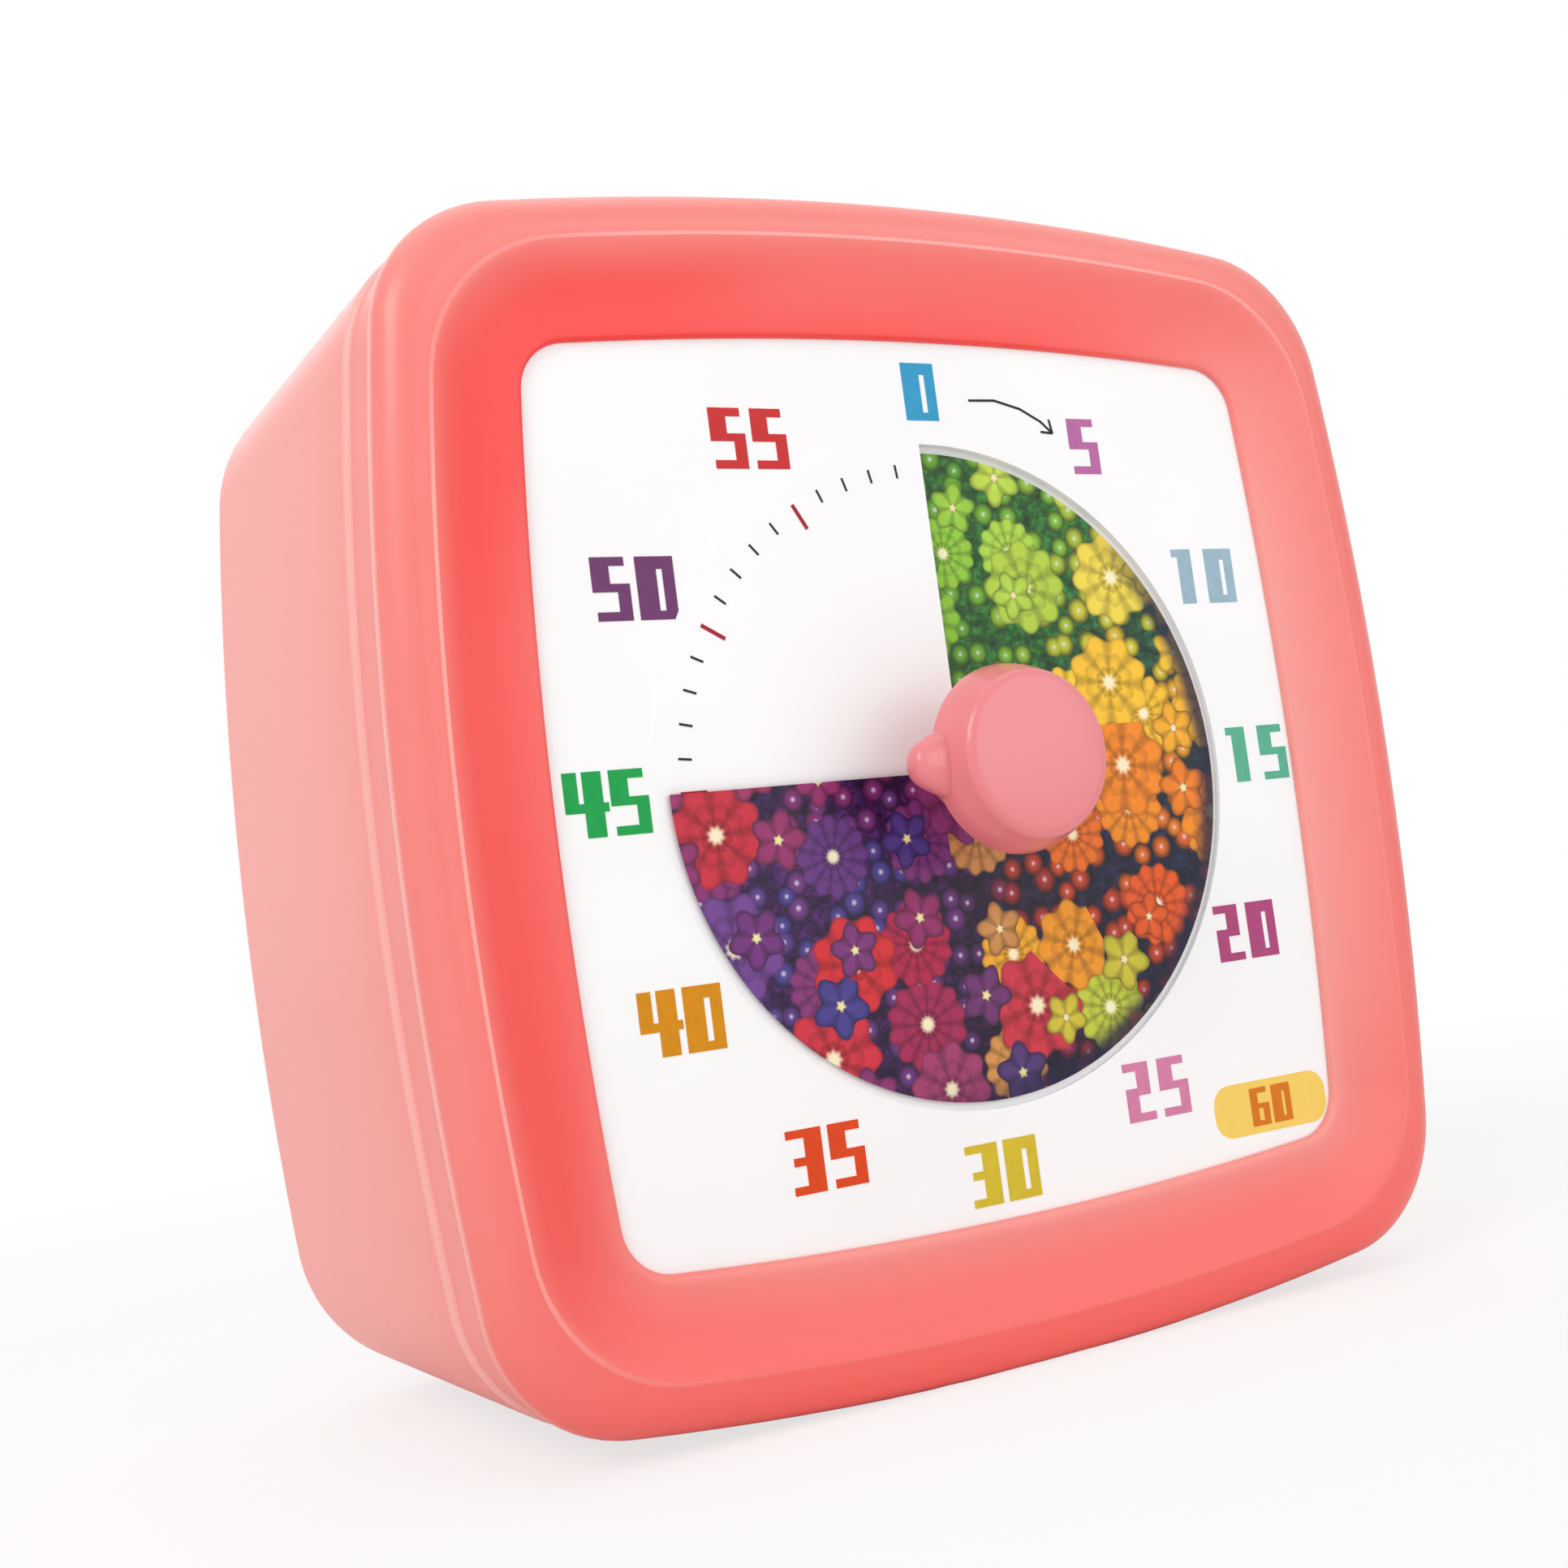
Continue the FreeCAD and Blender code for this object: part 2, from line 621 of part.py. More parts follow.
def knob_outline():
    """Half section of the knob: foot, flare, side up to the face, dome and axis."""
    flare_start = KNOB_FOOT-KNOB_STEM
    flare_pts = [beside_axis(KNOB_STEM_R, KNOB_FOOT)]
    for i in range(1, FLARE_STEPS+1):
        share = i/FLARE_STEPS
        a = math.radians(90.0*share)
        flare_pts.append(beside_axis(KNOB_R-(KNOB_R-KNOB_STEM_R)*math.cos(a)**FLARE_CURVE,
                                     flare_start+(KNOB_WIDE_DEPTH-flare_start)*math.sin(a)))
    flare = Part.BSplineCurve()
    flare.interpolate(flare_pts)
    foot = beside_axis(0.0, KNOB_FOOT)
    edge = beside_axis(KNOB_FACE_R, KNOB_FRONT+KNOB_DOME)
    half_way = beside_axis(KNOB_FACE_R/2, KNOB_FRONT+KNOB_DOME/4)
    middle = beside_axis(0.0, KNOB_FRONT)
    return Part.Wire([Part.makeLine(foot, flare_pts[0]), flare.toShape(), Part.makeLine(flare_pts[-1], edge),
                      Part.Arc(edge, half_way, middle).toShape(), Part.makeLine(middle, foot)])


def knob():
    """Mushroom knob with a wedge-shaped pointer on its rim, bored for the shaft."""
    body = spun(knob_outline())
    body = body.makeFillet(KNOB_FACE_ROUND, edges_at(body, KNOB_FRONT+KNOB_DOME))
    return body.fuse(pointer()).cut(shaft_bar(SHAFT_R, SHAFT_FLAT, SHAFT_TOP, KNOB_FOOT+PAST))


def pointer():
    """Wedge that stands out of the knob's rim at the time set."""
    def section(x, width, front, back):
        pts = [V(x, y_at(front), DIAL_Z-width/2), V(x, y_at(front), DIAL_Z+width/2),
               V(x, y_at(back), DIAL_Z+width/2), V(x, y_at(back), DIAL_Z-width/2)]
        return Part.makePolygon(pts+[pts[0]])
    root = section(-POINTER_ROOT, POINTER_ROOT_W, POINTER_FRONT, POINTER_BACK)
    tip = section(-POINTER_REACH, POINTER_TIP_W, POINTER_FRONT+POINTER_DROP, POINTER_BACK-POINTER_DROP)
    wedge = Part.makeLoft([root, tip], True, True)
    return wedge.makeFillet(POINTER_ROUND, wedge.Edges)


def knob_shaft():
    """Shaft from the knob to the back of the movement, with a shoulder for the wheel."""
    bar = shaft_bar(SHAFT_R, SHAFT_FLAT, SHAFT_TOP, FLAT_END)
    bar = bar.fuse(rod(0, 0, SHAFT_R, FLAT_END, SHAFT_STEP))
    bar = bar.fuse(rod(0, 0, SHOULDER_R, WHEEL_LEVEL-SHOULDER_THICK, WHEEL_LEVEL))
    return bar.fuse(rod(0, 0, JOURNAL_R, SHAFT_STEP, MOVE_BACK-PIN_SHORT))


def arbor_wheel():
    """Wheel on the shaft, lightened by round holes."""
    wheel = gear(0, 0, WHEEL_MODULE, ARBOR_TEETH, WHEEL_LEVEL, WHEEL_BACK, 0.0)
    wheel = wheel.cut(rod(0, 0, SHAFT_R, WHEEL_LEVEL-PAST, WHEEL_BACK+PAST))
    reach = (ARBOR_TIP_R+CLUTCH_R)/2-SPOKE_HOLE_R/2
    for i in range(SPOKE_HOLES):
        a = 2*math.pi*(i+0.5)/SPOKE_HOLES
        wheel = wheel.cut(rod(reach*math.cos(a), reach*math.sin(a), SPOKE_HOLE_R,
                              WHEEL_LEVEL-PAST, WHEEL_BACK+PAST))
    return wheel


def clutch_spring():
    """Dished friction washer on the shaft that presses the wheel against its shoulder."""
    inner = WHEEL_BACK+CLUTCH_RISE
    section = ((SHAFT_R, inner), (CLUTCH_R, WHEEL_BACK), (CLUTCH_R, WHEEL_BACK+CLUTCH_THICK),
               (SHAFT_R, inner+CLUTCH_THICK), (SHAFT_R, inner))
    return spun(Part.makePolygon([beside_axis(r, d) for r, d in section]))


def pin(x, z):
    """Arbor that runs in both halves of the housing."""
    return rod(x, z, PIN_R, MOVE_FRONT+PIN_SHORT, MOVE_BACK-PIN_SHORT)


def middle_wheel():
    """Second wheel and its pinion on one arbor."""
    phase = math.pi+math.pi/PINION_TEETH
    pinion = gear(MIDDLE_X, 0, WHEEL_MODULE, PINION_TEETH, WHEEL_LEVEL-FREE_GAP, MIDDLE_LEVEL, phase)
    wheel = gear(MIDDLE_X, 0, FINE_MODULE, MIDDLE_TEETH, MIDDLE_LEVEL, MIDDLE_LEVEL+WHEEL_THICK, 0.0)
    return pinion.fuse(wheel).fuse(pin(MIDDLE_X, 0))


def rotor():
    """Magnet rotor with its pinion, at the last of the train."""
    phase = math.pi/ROTOR_TEETH-math.pi/2
    body = gear(MIDDLE_X, ROTOR_Z, FINE_MODULE, ROTOR_TEETH, MIDDLE_LEVEL-FREE_GAP, ROTOR_FRONT, phase)
    body = body.fuse(rod(MIDDLE_X, ROTOR_Z, ROTOR_R, ROTOR_FRONT, ROTOR_BACK))
    return body.fuse(pin(MIDDLE_X, ROTOR_Z))


def housing_block(d0, d1, inset):
    """Block with round corners over the movement, moved in by inset."""
    body = block(inset-MOVE_HALF_X, MOVE_HALF_X-inset, MOVE_LOW+inset, MOVE_HIGH-inset, d0, d1)
    return body.makeFillet(MOVE_CORNER_R-inset, edges_along_depth(body, d1-d0))


def with_pin_holes(body):
    """Housing half with the blind holes that the two small arbors run in."""
    for z in (0.0, ROTOR_Z):
        body = body.cut(rod(MIDDLE_X, z, PIN_R+RUN_FIT, MOVE_FRONT+PIN_HOLE_SHORT, MOVE_BACK-PIN_HOLE_SHORT))
    return body


def movement_front():
    """Front half of the movement's housing with the bush for the shaft and four ears."""
    body = housing_block(MOVE_FRONT, MOVE_SPLIT, 0.0)
    body = body.cut(housing_block(MOVE_INNER, MOVE_SPLIT+PAST, MOVE_WALL))
    body = body.fuse(rod(0, 0, BUSH_R, BUSH_FRONT, MOVE_INNER))
    for x, z in EARS:
        edge = math.copysign(MOVE_HALF_X-LAP, x)
        body = body.fuse(rod(x, z, EAR_R, MOVE_FRONT, MOVE_FRONT+EAR_THICK))
        body = body.fuse(block(min(x, edge), max(x, edge), z-EAR_R, z+EAR_R, MOVE_FRONT, MOVE_FRONT+EAR_THICK))
    for x, z in EARS:
        body = body.cut(rod(x, z, MOVE_SCREW_R+SEAT_GAP, MOVE_FRONT-PAST, MOVE_FRONT+EAR_THICK+PAST))
    body = body.cut(rod(0, 0, SHAFT_R+RUN_FIT, BUSH_FRONT-PAST, MOVE_INNER+PAST))
    return with_pin_holes(body.removeSplitter())


def movement_back():
    """Rear half of the movement's housing with the posts that hold the stator."""
    body = housing_block(MOVE_SPLIT, MOVE_BACK, 0.0)
    body = body.cut(housing_block(MOVE_SPLIT-PAST, MOVE_BACK-MOVE_WALL, MOVE_WALL))
    for x, z in YOKE_POSTS:
        body = body.fuse(rod(x, z, YOKE_POST_R, STATOR_BACK, MOVE_BACK-MOVE_WALL/2))
    body = body.cut(rod(0, 0, JOURNAL_R+RUN_FIT, MOVE_SPLIT, MOVE_BACK-PIN_HOLE_SHORT))
    return with_pin_holes(body.removeSplitter())


def stator():
    """Flat iron yoke: round the rotor at one end, carrying the coil's core at the other."""
    ring_r = ROTOR_R+STATOR_GAP
    plate = rod(MIDDLE_X, ROTOR_Z, ring_r+STATOR_RING, STATOR_LEVEL, STATOR_BACK)
    bars = ((MIDDLE_X-YOKE_ARM, MIDDLE_X+YOKE_REACH, ROTOR_Z, COIL_Z+YOKE_CORE),
            (YOKE_FOOT_X, MIDDLE_X, COIL_Z-YOKE_CORE/2, COIL_Z+YOKE_CORE/2),
            (YOKE_FOOT_X, YOKE_FOOT_X+YOKE_FOOT, COIL_Z-YOKE_FOOT/2, COIL_Z+YOKE_FOOT/2))
    for x0, x1, z0, z1 in bars:
        plate = plate.fuse(block(x0, x1, z0, z1, STATOR_LEVEL, STATOR_BACK))
    return plate.cut(rod(MIDDLE_X, ROTOR_Z, ring_r, STATOR_LEVEL-PAST, STATOR_BACK+PAST)).removeSplitter()


def coil():
    """Winding between two bobbin cheeks, bored square for the yoke."""
    body = cross_rod(COIL_X0, COIL_X1, COIL_Z, COIL_DEPTH, COIL_R)
    for x in (COIL_X0, COIL_X1-CHEEK_THICK):
        body = body.fuse(cross_rod(x, x+CHEEK_THICK, COIL_Z, COIL_DEPTH, COIL_R+COIL_CHEEK))
    core = block(COIL_X0-PAST, COIL_X1+PAST, COIL_Z-YOKE_CORE/2, COIL_Z+YOKE_CORE/2, STATOR_LEVEL, STATOR_BACK)
    return body.cut(core).removeSplitter()


def screw(x, z, r, long, head_r, head, seat):
    """Pan-head screw driven from behind, with a cross recess; its head seats at a depth."""
    body = rod(x, z, head_r, seat, seat+head).fuse(rod(x, z, r, seat-long, seat))
    body = body.makeFillet(head*0.35, edges_at(body, seat+head))
    arm = head_r*0.55
    thin = head_r*0.14
    for w, h in ((arm, thin), (thin, arm)):
        body = body.cut(block(x-w, x+w, z-h, z+h, seat+head*0.45, seat+head+PAST))
    return body


def movement_screw(x, z):
    """Small screw through an ear of the movement into the dial's post."""
    return screw(x, z, MOVE_SCREW_R, MOVE_SCREW_LONG, MOVE_SCREW_HEAD_R, MOVE_SCREW_HEAD, MOVE_FRONT+EAR_THICK)


def case_screw(x, z):
    """Screw through a post of the case into the bezel's post."""
    return screw(x, z, SCREW_R, SCREW_LONG, SCREW_HEAD_R, SCREW_HEAD, SCREW_SEAT)


def battery():
    """One AA cell lying across the bay."""
    can = cross_rod(-CELL_END, -CELL_END+CELL_BODY, CELL_Z, CELL_DEPTH, CELL_R)
    can = can.makeFillet(CELL_ROUND, round_edges(can))
    return can.fuse(cross_rod(CELL_END-CELL_NUB-LAP, CELL_END, CELL_Z, CELL_DEPTH, CELL_NUB_R))


def contact_strip(side):
    """Bent strip at one end of the cell, with a tab that comes up towards the board,
    and the x of the face that looks at the cell."""
    wall = side*(BAY_HALF_X-SEAT_GAP)
    face = wall-side*CONTACT_THICK
    x0 = min(wall, face)
    x1 = max(wall, face)
    low = BAY_FLOOR+FREE_GAP
    plate = block(x0, x1, CELL_Z-CONTACT_HALF, CELL_Z+CONTACT_HALF, low, CELL_DEPTH+CONTACT_HALF)
    return plate.fuse(block(x0, x1, CELL_Z+CONTACT_HALF-SEAT_GAP, BOARD_LOW, low, low+CONTACT_TAB)), face


def contact_plus():
    """Strip with a raised bump that the cell's nub touches."""
    plate, face = contact_strip(1)
    root = face+RUN_FIT
    bump = Part.makeCone(BUMP_R, BUMP_TOP_R, root-CELL_END, V(root, y_at(CELL_DEPTH), DIAL_Z+CELL_Z), -ACROSS)
    return plate.fuse(bump)


def contact_minus():
    """Strip with a sprung tongue folded over towards the cell's flat end."""
    plate, face = contact_strip(-1)
    bend = -CELL_END-CONTACT_THICK
    outline = [(face, -TONGUE_LOW), (bend, -TONGUE_NOSE), (-CELL_END, TONGUE_NOSE), (-CELL_END, TONGUE_TOP),
               (bend, TONGUE_TOP), (bend-CONTACT_THICK, 0.0), (face, 2*CONTACT_THICK-TONGUE_LOW)]
    pts = [V(x, y_at(CELL_DEPTH-TONGUE_HALF), DIAL_Z+CELL_Z+z) for x, z in outline]
    return plate.fuse(Part.Face(Part.makePolygon(pts+[pts[0]])).extrude(V(0, 2*TONGUE_HALF, 0)))


def battery_door():
    """Flush door with two tabs at its lower edge and a finger latch at the top."""
    top = BAY_HIGH-FREE_GAP
    low = BAY_LOW+FREE_GAP
    half = BAY_HALF_X-FREE_GAP
    body = block(-half, half, low, top, INNER_REAR, CASE_DEPTH)
    back = INNER_REAR-TAB_DROP
    for x in DOOR_TABS:
        body = body.fuse(block(x-TAB_W/2, x+TAB_W/2, BAY_LOW-TAB_REACH, low+TAB_ROOT, back-TAB_THICK, back))
        body = body.fuse(block(x-TAB_W/2, x+TAB_W/2, low, low+TAB_ROOT, back-TAB_THICK, INNER_REAR+SEAT_GAP))
    body = body.fuse(block(-LATCH_HALF, LATCH_HALF, top-LATCH_LOW, top-LATCH_HIGH,
                           INNER_REAR-LATCH_DEEP, INNER_REAR+SEAT_GAP))
    for x in (-LATCH_SLIT_X, LATCH_SLIT_X):
        body = body.cut(block(x-LATCH_SLIT_W/2, x+LATCH_SLIT_W/2, top-LATCH_SLIT, top+PAST,
                              INNER_REAR-LATCH_DEEP-PAST, CASE_DEPTH+PAST))
    for i in range(GRIP_RIBS):
        z = top-LATCH_LOW-GRIP_PITCH*i
        body = body.cut(block(-GRIP_HALF, GRIP_HALF, z, z+GRIP_W, CASE_DEPTH-GRIP_DEEP, CASE_DEPTH+PAST))
    return body.removeSplitter()


def circuit_board():
    """Board on the case's four posts behind the movement."""
    board = block(-BOARD_HALF_X, BOARD_HALF_X, BOARD_LOW, BOARD_HIGH, BOARD_DEPTH, BOARD_BACK)
    for x, z in BOARD_POSTS:
        board = board.cut(rod(x, z, BOARD_PEG_R+RUN_FIT, BOARD_DEPTH-PAST, BOARD_BACK+PAST))
    return board


def chip():
    """Dark blob over the bare chip."""
    blob = rod(CHIP_X, CHIP_Z, CHIP_R, BOARD_BACK, BOARD_BACK+CHIP_HIGH)
    return blob.makeFillet(CHIP_ROUND, edges_at(blob, BOARD_BACK+CHIP_HIGH))


def crystal():
    """Quartz crystal lying on the board in its round can."""
    can = cross_rod(CRYSTAL_X, CRYSTAL_X+CRYSTAL_LONG, CHIP_Z, BOARD_BACK+CRYSTAL_R, CRYSTAL_R)
    return can.makeFillet(CRYSTAL_ROUND, round_edges(can))


def sound_disc():
    """Sounder: a brass disc with a ceramic face, on the rim round the sound holes."""
    back = INNER_REAR-SOUND_CHAMBER
    front = back-SOUND_THICK
    plate = rod(0, SOUND_Z, SOUND_R-FREE_GAP, front, back)
    return plate.fuse(rod(0, SOUND_Z, CERAMIC_R, front-CERAMIC_THICK, front+RUN_FIT))


def switch_body():
    """Slide switch fixed to the inside of the rear wall."""
    body = block(SLOT_X0-SWITCH_END, SLOT_X1+SWITCH_END, SWITCH_Z-SWITCH_HALF, SWITCH_Z+SWITCH_HALF,
                 INNER_REAR-SWITCH_DEEP, INNER_REAR)
    return body.cut(block(SLOT_X0, SLOT_X1, SWITCH_Z-SLOT_W/2, SWITCH_Z+SLOT_W/2,
                          INNER_REAR-SLOT_DEEP, INNER_REAR+PAST))


def volume_slider():
    """Slider with a ribbed cap in the pocket, at its low end."""
    x = SLOT_X0+FREE_GAP
    half = SLOT_W/2-STEM_GAP
    stem = block(x, x+STEM_LONG, SWITCH_Z-half, SWITCH_Z+half, INNER_REAR-SLOT_DEEP+STEM_GAP, POCKET_FLOOR+LAP)
    mid = x+STEM_LONG/2
    front = POCKET_FLOOR+STEM_GAP
    back = POCKET_FLOOR+CAP_PROUD
    cap = block(mid-CAP_LONG/2, mid+CAP_LONG/2, SWITCH_Z-CAP_TALL/2, SWITCH_Z+CAP_TALL/2, front, back)
    for i in range(CAP_RIBS):
        rib = mid+(i-(CAP_RIBS-1)/2)*CAP_RIB_PITCH
        cap = cap.cut(block(rib-CAP_RIB_W/2, rib+CAP_RIB_W/2, SWITCH_Z-CAP_TALL, SWITCH_Z+CAP_TALL,
                            back-CAP_RIB_DEEP, back+PAST))
    return stem.fuse(cap).removeSplitter()


def write(name, shape):
    """One STEP file for one piece."""
    shape.exportStep("parts/"+name+".step")
    print(name, "solids", len(shape.Solids), "valid", shape.isValid(), "volume", round(shape.Volume, 2))


SINGLE_PIECES = (front_bezel, case_body, dial_plate, printed_disc, disc_hub, knob, knob_shaft, arbor_wheel,
                 clutch_spring, middle_wheel, rotor, movement_front, movement_back, stator, coil, battery,
                 contact_plus, contact_minus, battery_door, circuit_board, chip, crystal, sound_disc,
                 switch_body, volume_slider)

for piece in SINGLE_PIECES:
    write(piece.__name__, piece())
for number, place in enumerate(EARS, 1):
    write("movement_screw_"+str(number), movement_screw(*place))
for number, place in enumerate(POSTS, 1):
    write("case_screw_"+str(number), case_screw(*place))
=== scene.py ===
import math

import bmesh
import bpy
from mathutils import Matrix, Vector


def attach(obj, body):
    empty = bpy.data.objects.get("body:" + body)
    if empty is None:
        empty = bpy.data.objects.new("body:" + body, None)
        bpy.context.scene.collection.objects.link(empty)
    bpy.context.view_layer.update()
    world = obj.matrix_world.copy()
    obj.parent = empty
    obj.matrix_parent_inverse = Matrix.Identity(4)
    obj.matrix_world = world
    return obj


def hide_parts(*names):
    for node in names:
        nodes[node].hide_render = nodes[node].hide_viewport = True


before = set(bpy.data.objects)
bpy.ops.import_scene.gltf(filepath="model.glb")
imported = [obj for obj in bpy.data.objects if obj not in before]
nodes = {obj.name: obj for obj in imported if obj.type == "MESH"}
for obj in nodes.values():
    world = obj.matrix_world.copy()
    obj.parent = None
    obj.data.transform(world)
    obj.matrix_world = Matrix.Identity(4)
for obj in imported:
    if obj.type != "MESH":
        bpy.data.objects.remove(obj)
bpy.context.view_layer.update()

MM = 0.001

# Millimetres: depths are counted from the dial's face towards the back,
# x and z from the dial's middle.
FACE_Y = -16.15
DIAL_Z = 42.17
CASE_DEPTH = 42.3

# outlines of the front frame: half width, bulge radius of the sides, corner radius
RIM = (42.5, 254.0, 10.3)
CREST = (38.9, 254.0, 11.0)
OPENING = (32.0, 325.0, 3.7)
SIDE_STEPS = 20
CORNER_STEPS = 14
FOOT_FLAT = 0.33

# section through the front frame
CREST_DEPTH = -1.8
BEZEL_DEPTH = 0.9
BEZEL_ROLL = 2.6
ROLL_STEPS = 16
ROLL_FIRST = 4.0
LIP_HALF = 32.3
LIP_DEPTH = -0.45
SLOPE_HOLLOW = 1.7
SLOPE_STEPS = 14
FRAME_BACK = -0.03
FRAME_LEG = 38.2
FRAME_FOOT = 38.5
# rounded edge at the seam: in from the rim, forward of the seam
SEAM_EDGE = ((0.35, 0.0), (0.14, 0.04), (0.04, 0.14))
# rounded edge of the lip: out from the opening, behind the lip
LIP_EDGE = ((0.15, 0.05), (0.04, 0.16), (0.0, 0.3))
# share of the way across the frame's face, from the seam to the lip
SEAM_SHARE = 0.02
ROLL_SHARE = 0.04
CREST_SHARE = 0.40
SLOPE_SHARE = 0.505
# fine ridge along the crest: half width, share of its rise, share of the way across
RIDGE_RISE = 0.02
RIDGE = ((39.6, 0.0, 0.42), (39.28, 0.0, 0.45), (39.16, 1.0, 0.465), (39.0, 1.0, 0.485))

# climb of the dial's centre: how far its face stands behind the dial at the slit
RAMP_START = 0.75
RAMP_RISE = 1.0

# knob: a stem that flares to the widest edge, a side that draws in, a rounded face
KNOB_R = 6.7
KNOB_WIDE = -6.4
KNOB_FOOT = -1.9
KNOB_FRONT = -10.0
KNOB_BORE = 1.7
KNOB_STEM_R = 2.9
KNOB_STEM = 0.5
STEM_EDGE = 0.1
KNOB_SIDES = 72
FLARE_STEPS = 14
FLARE_CURVE = 1.6
FLARE_LEAN = 0.9
# (radius, depth) down the side and across the face
KNOB_SIDE = ((6.66, -6.9), (6.5, -7.6), (6.25, -8.35), (5.98, -8.95))
KNOB_FACE = ((4.2, -9.88), (2.8, -9.95), (1.4, -9.985))
# rounded edge between them: middle radius and depth, reach outwards and forwards
EDGE_R = 5.05
EDGE_DEPTH = -8.95
EDGE_OUT = 0.93
EDGE_FORWARD = 0.85
EDGE_STEPS = 9
EDGE_FIRST = 12.0

# pointer on the knob's rim: root inside the head, then (x, width, front, back) to the tip
POINTER_X = -4.2
POINTER_DEPTH = -6.6
POINTER_ROOT = (1.0, 2.6, 5.6)
POINTER_ENDS = -4.6
POINTER_SECTIONS = ((-6.2, 5.2, -8.2, -5.1), (-7.6, 3.8, -8.1, -5.4), (-8.9, 2.2, -7.8, -5.8))
POINTER_ROUNDING = 3

# print on the dial: its thickness, and how far each layer stands in front of the dial
PRINT = 0.03
FIGURE_DEPTH = -0.005
MARK_RISE = 0.012
DIGIT_TALL = 4.35
DIGIT_STEP = 3.3
DIGIT_WIDE = 0.62
DIGIT_STRETCH = 1.06
PRINT_BLACK = "2c2a33"


def at(x, depth, z):
    """Point in metres from millimetres on the timer."""
    return Vector((x*MM, (FACE_Y+depth)*MM, (DIAL_Z+z)*MM))


def srgb(code):
    """Linear colour of a six-digit code, with alpha."""
    out = []
    for i in (0, 2, 4):
        c = int(code[i:i+2], 16)/255.0
        out.append(c/12.92 if c <= 0.04045 else ((c+0.055)/1.055)**2.4)
    return (*out, 1.0)


# Shaping

def nothing_selected():
    if bpy.context.object and bpy.context.object.mode != "OBJECT":
        bpy.ops.object.mode_set(mode="OBJECT")
    bpy.ops.object.select_all(action="DESELECT")


def named(name):
    """The object just added, with its name."""
    obj = bpy.context.object
    obj.name = name
    obj.data.name = name
    return obj


def place_applied():
    bpy.ops.object.transform_apply(location=True, rotation=True, scale=True)


def settle(obj, smooth=35.0):
    """Apply the place to the mesh, turn faces outwards and smooth the gentle edges."""
    nothing_selected()
    obj.select_set(True)
    bpy.context.view_layer.objects.active = obj
    place_applied()
    bpy.ops.object.mode_set(mode="EDIT")
    bpy.ops.mesh.select_all(action="SELECT")
    bpy.ops.mesh.remove_doubles(threshold=1e-7)
    bpy.ops.mesh.normals_make_consistent(inside=False)
    bpy.ops.object.mode_set(mode="OBJECT")
    bpy.ops.object.shade_smooth_by_angle(angle=math.radians(smooth))
    return obj


def outline(half, bulge, corner):
    """Points (x, z) round a square with bulged sides, from the right side's middle."""
    b = 2.0*(bulge-half)
    c = (bulge-half)**2-(bulge-corner)**2
    k = (-b+math.sqrt(b*b-8.0*c))/4.0
    turn = math.atan2(k, k-half+bulge)
    pts = []
    for quarter in range(4):
        base = quarter*math.pi/2
        for cx, cz, r, a0, a1, n in ((half-bulge, 0.0, bulge, -turn, turn, SIDE_STEPS),
                                     (k, k, corner, turn, math.pi/2-turn, CORNER_STEPS)):
            for i in range(n):
                a = a0+(a1-a0)*i/n
                x = cx+r*math.cos(a)
                z = cz+r*math.sin(a)
                pts.append((x*math.cos(base)-z*math.sin(base), x*math.sin(base)+z*math.cos(base)))
    return pts


def place_ring(obj, sizes, depth, floor):
    """Move the selected loop onto an outline at a depth, corner by corner."""
    mesh = bmesh.from_edit_mesh(obj.data)
    loop = [v for v in mesh.verts if v.select]
    pts = outline(*sizes)
    mid = at(0, 0, 0)
    loop.sort(key=lambda v: math.atan2(v.co.z-mid.z, v.co.x-mid.x))
    pts.sort(key=lambda p: math.atan2(p[1], p[0]))
    for v, (x, z) in zip(loop, pts):
        v.co = at(x, depth, max(z, -floor))
    bmesh.update_edit_mesh(obj.data)


def ring_stack(name, rings, floor):
    """A loop of the outline extruded through a list of (sizes, depth) and joined to its start."""
    nothing_selected()
    count = len(outline(*rings[0][0]))
    bpy.ops.mesh.primitive_circle_add(vertices=count, radius=rings[0][0][0]*MM, fill_type="NOTHING",
                                      location=at(0, rings[0][1], 0), rotation=(math.pi/2, 0, 0))
    obj = named(name)
    place_applied()
    bpy.ops.object.mode_set(mode="EDIT")
    bpy.ops.mesh.select_all(action="SELECT")
    place_ring(obj, rings[0][0], rings[0][1], floor)
    for sizes, depth in rings[1:]:
        bpy.ops.mesh.extrude_region_move()
        place_ring(obj, sizes, depth, floor)
    bpy.ops.mesh.select_mode(type="EDGE")
    bpy.ops.mesh.select_all(action="DESELECT")
    bpy.ops.mesh.select_non_manifold()
    bpy.ops.mesh.bridge_edge_loops()
    bpy.ops.mesh.select_mode(type="VERT")
    bpy.ops.object.mode_set(mode="OBJECT")
    return settle(obj)


def between(a, b, t):
    return tuple(p+(q-p)*t for p, q in zip(a, b))


# Materials

def material(name):
    m = bpy.data.materials.new(name)
    m.use_nodes = True
    tree = m.node_tree
    shader = tree.nodes["Principled BSDF"]
    place = tree.nodes.new("ShaderNodeTexCoord").outputs["Object"]
    return m, tree, shader, place


def put(tree, socket, value):
    """Link a socket or write a constant."""
    if isinstance(value, bpy.types.NodeSocket):
        tree.links.new(value, socket)
    else:
        socket.default_value = value


def maths(tree, operation, *values):
    node = tree.nodes.new("ShaderNodeMath")
    node.operation = operation
    for socket, value in zip(node.inputs, values):
        put(tree, socket, value)
    return node.outputs[0]


def vector_maths(tree, operation, *values):
    node = tree.nodes.new("ShaderNodeVectorMath")
    node.operation = operation
    for socket, value in zip(node.inputs, values):
        put(tree, socket, value)
    return node.outputs["Value" if operation == "LENGTH" else "Vector"]


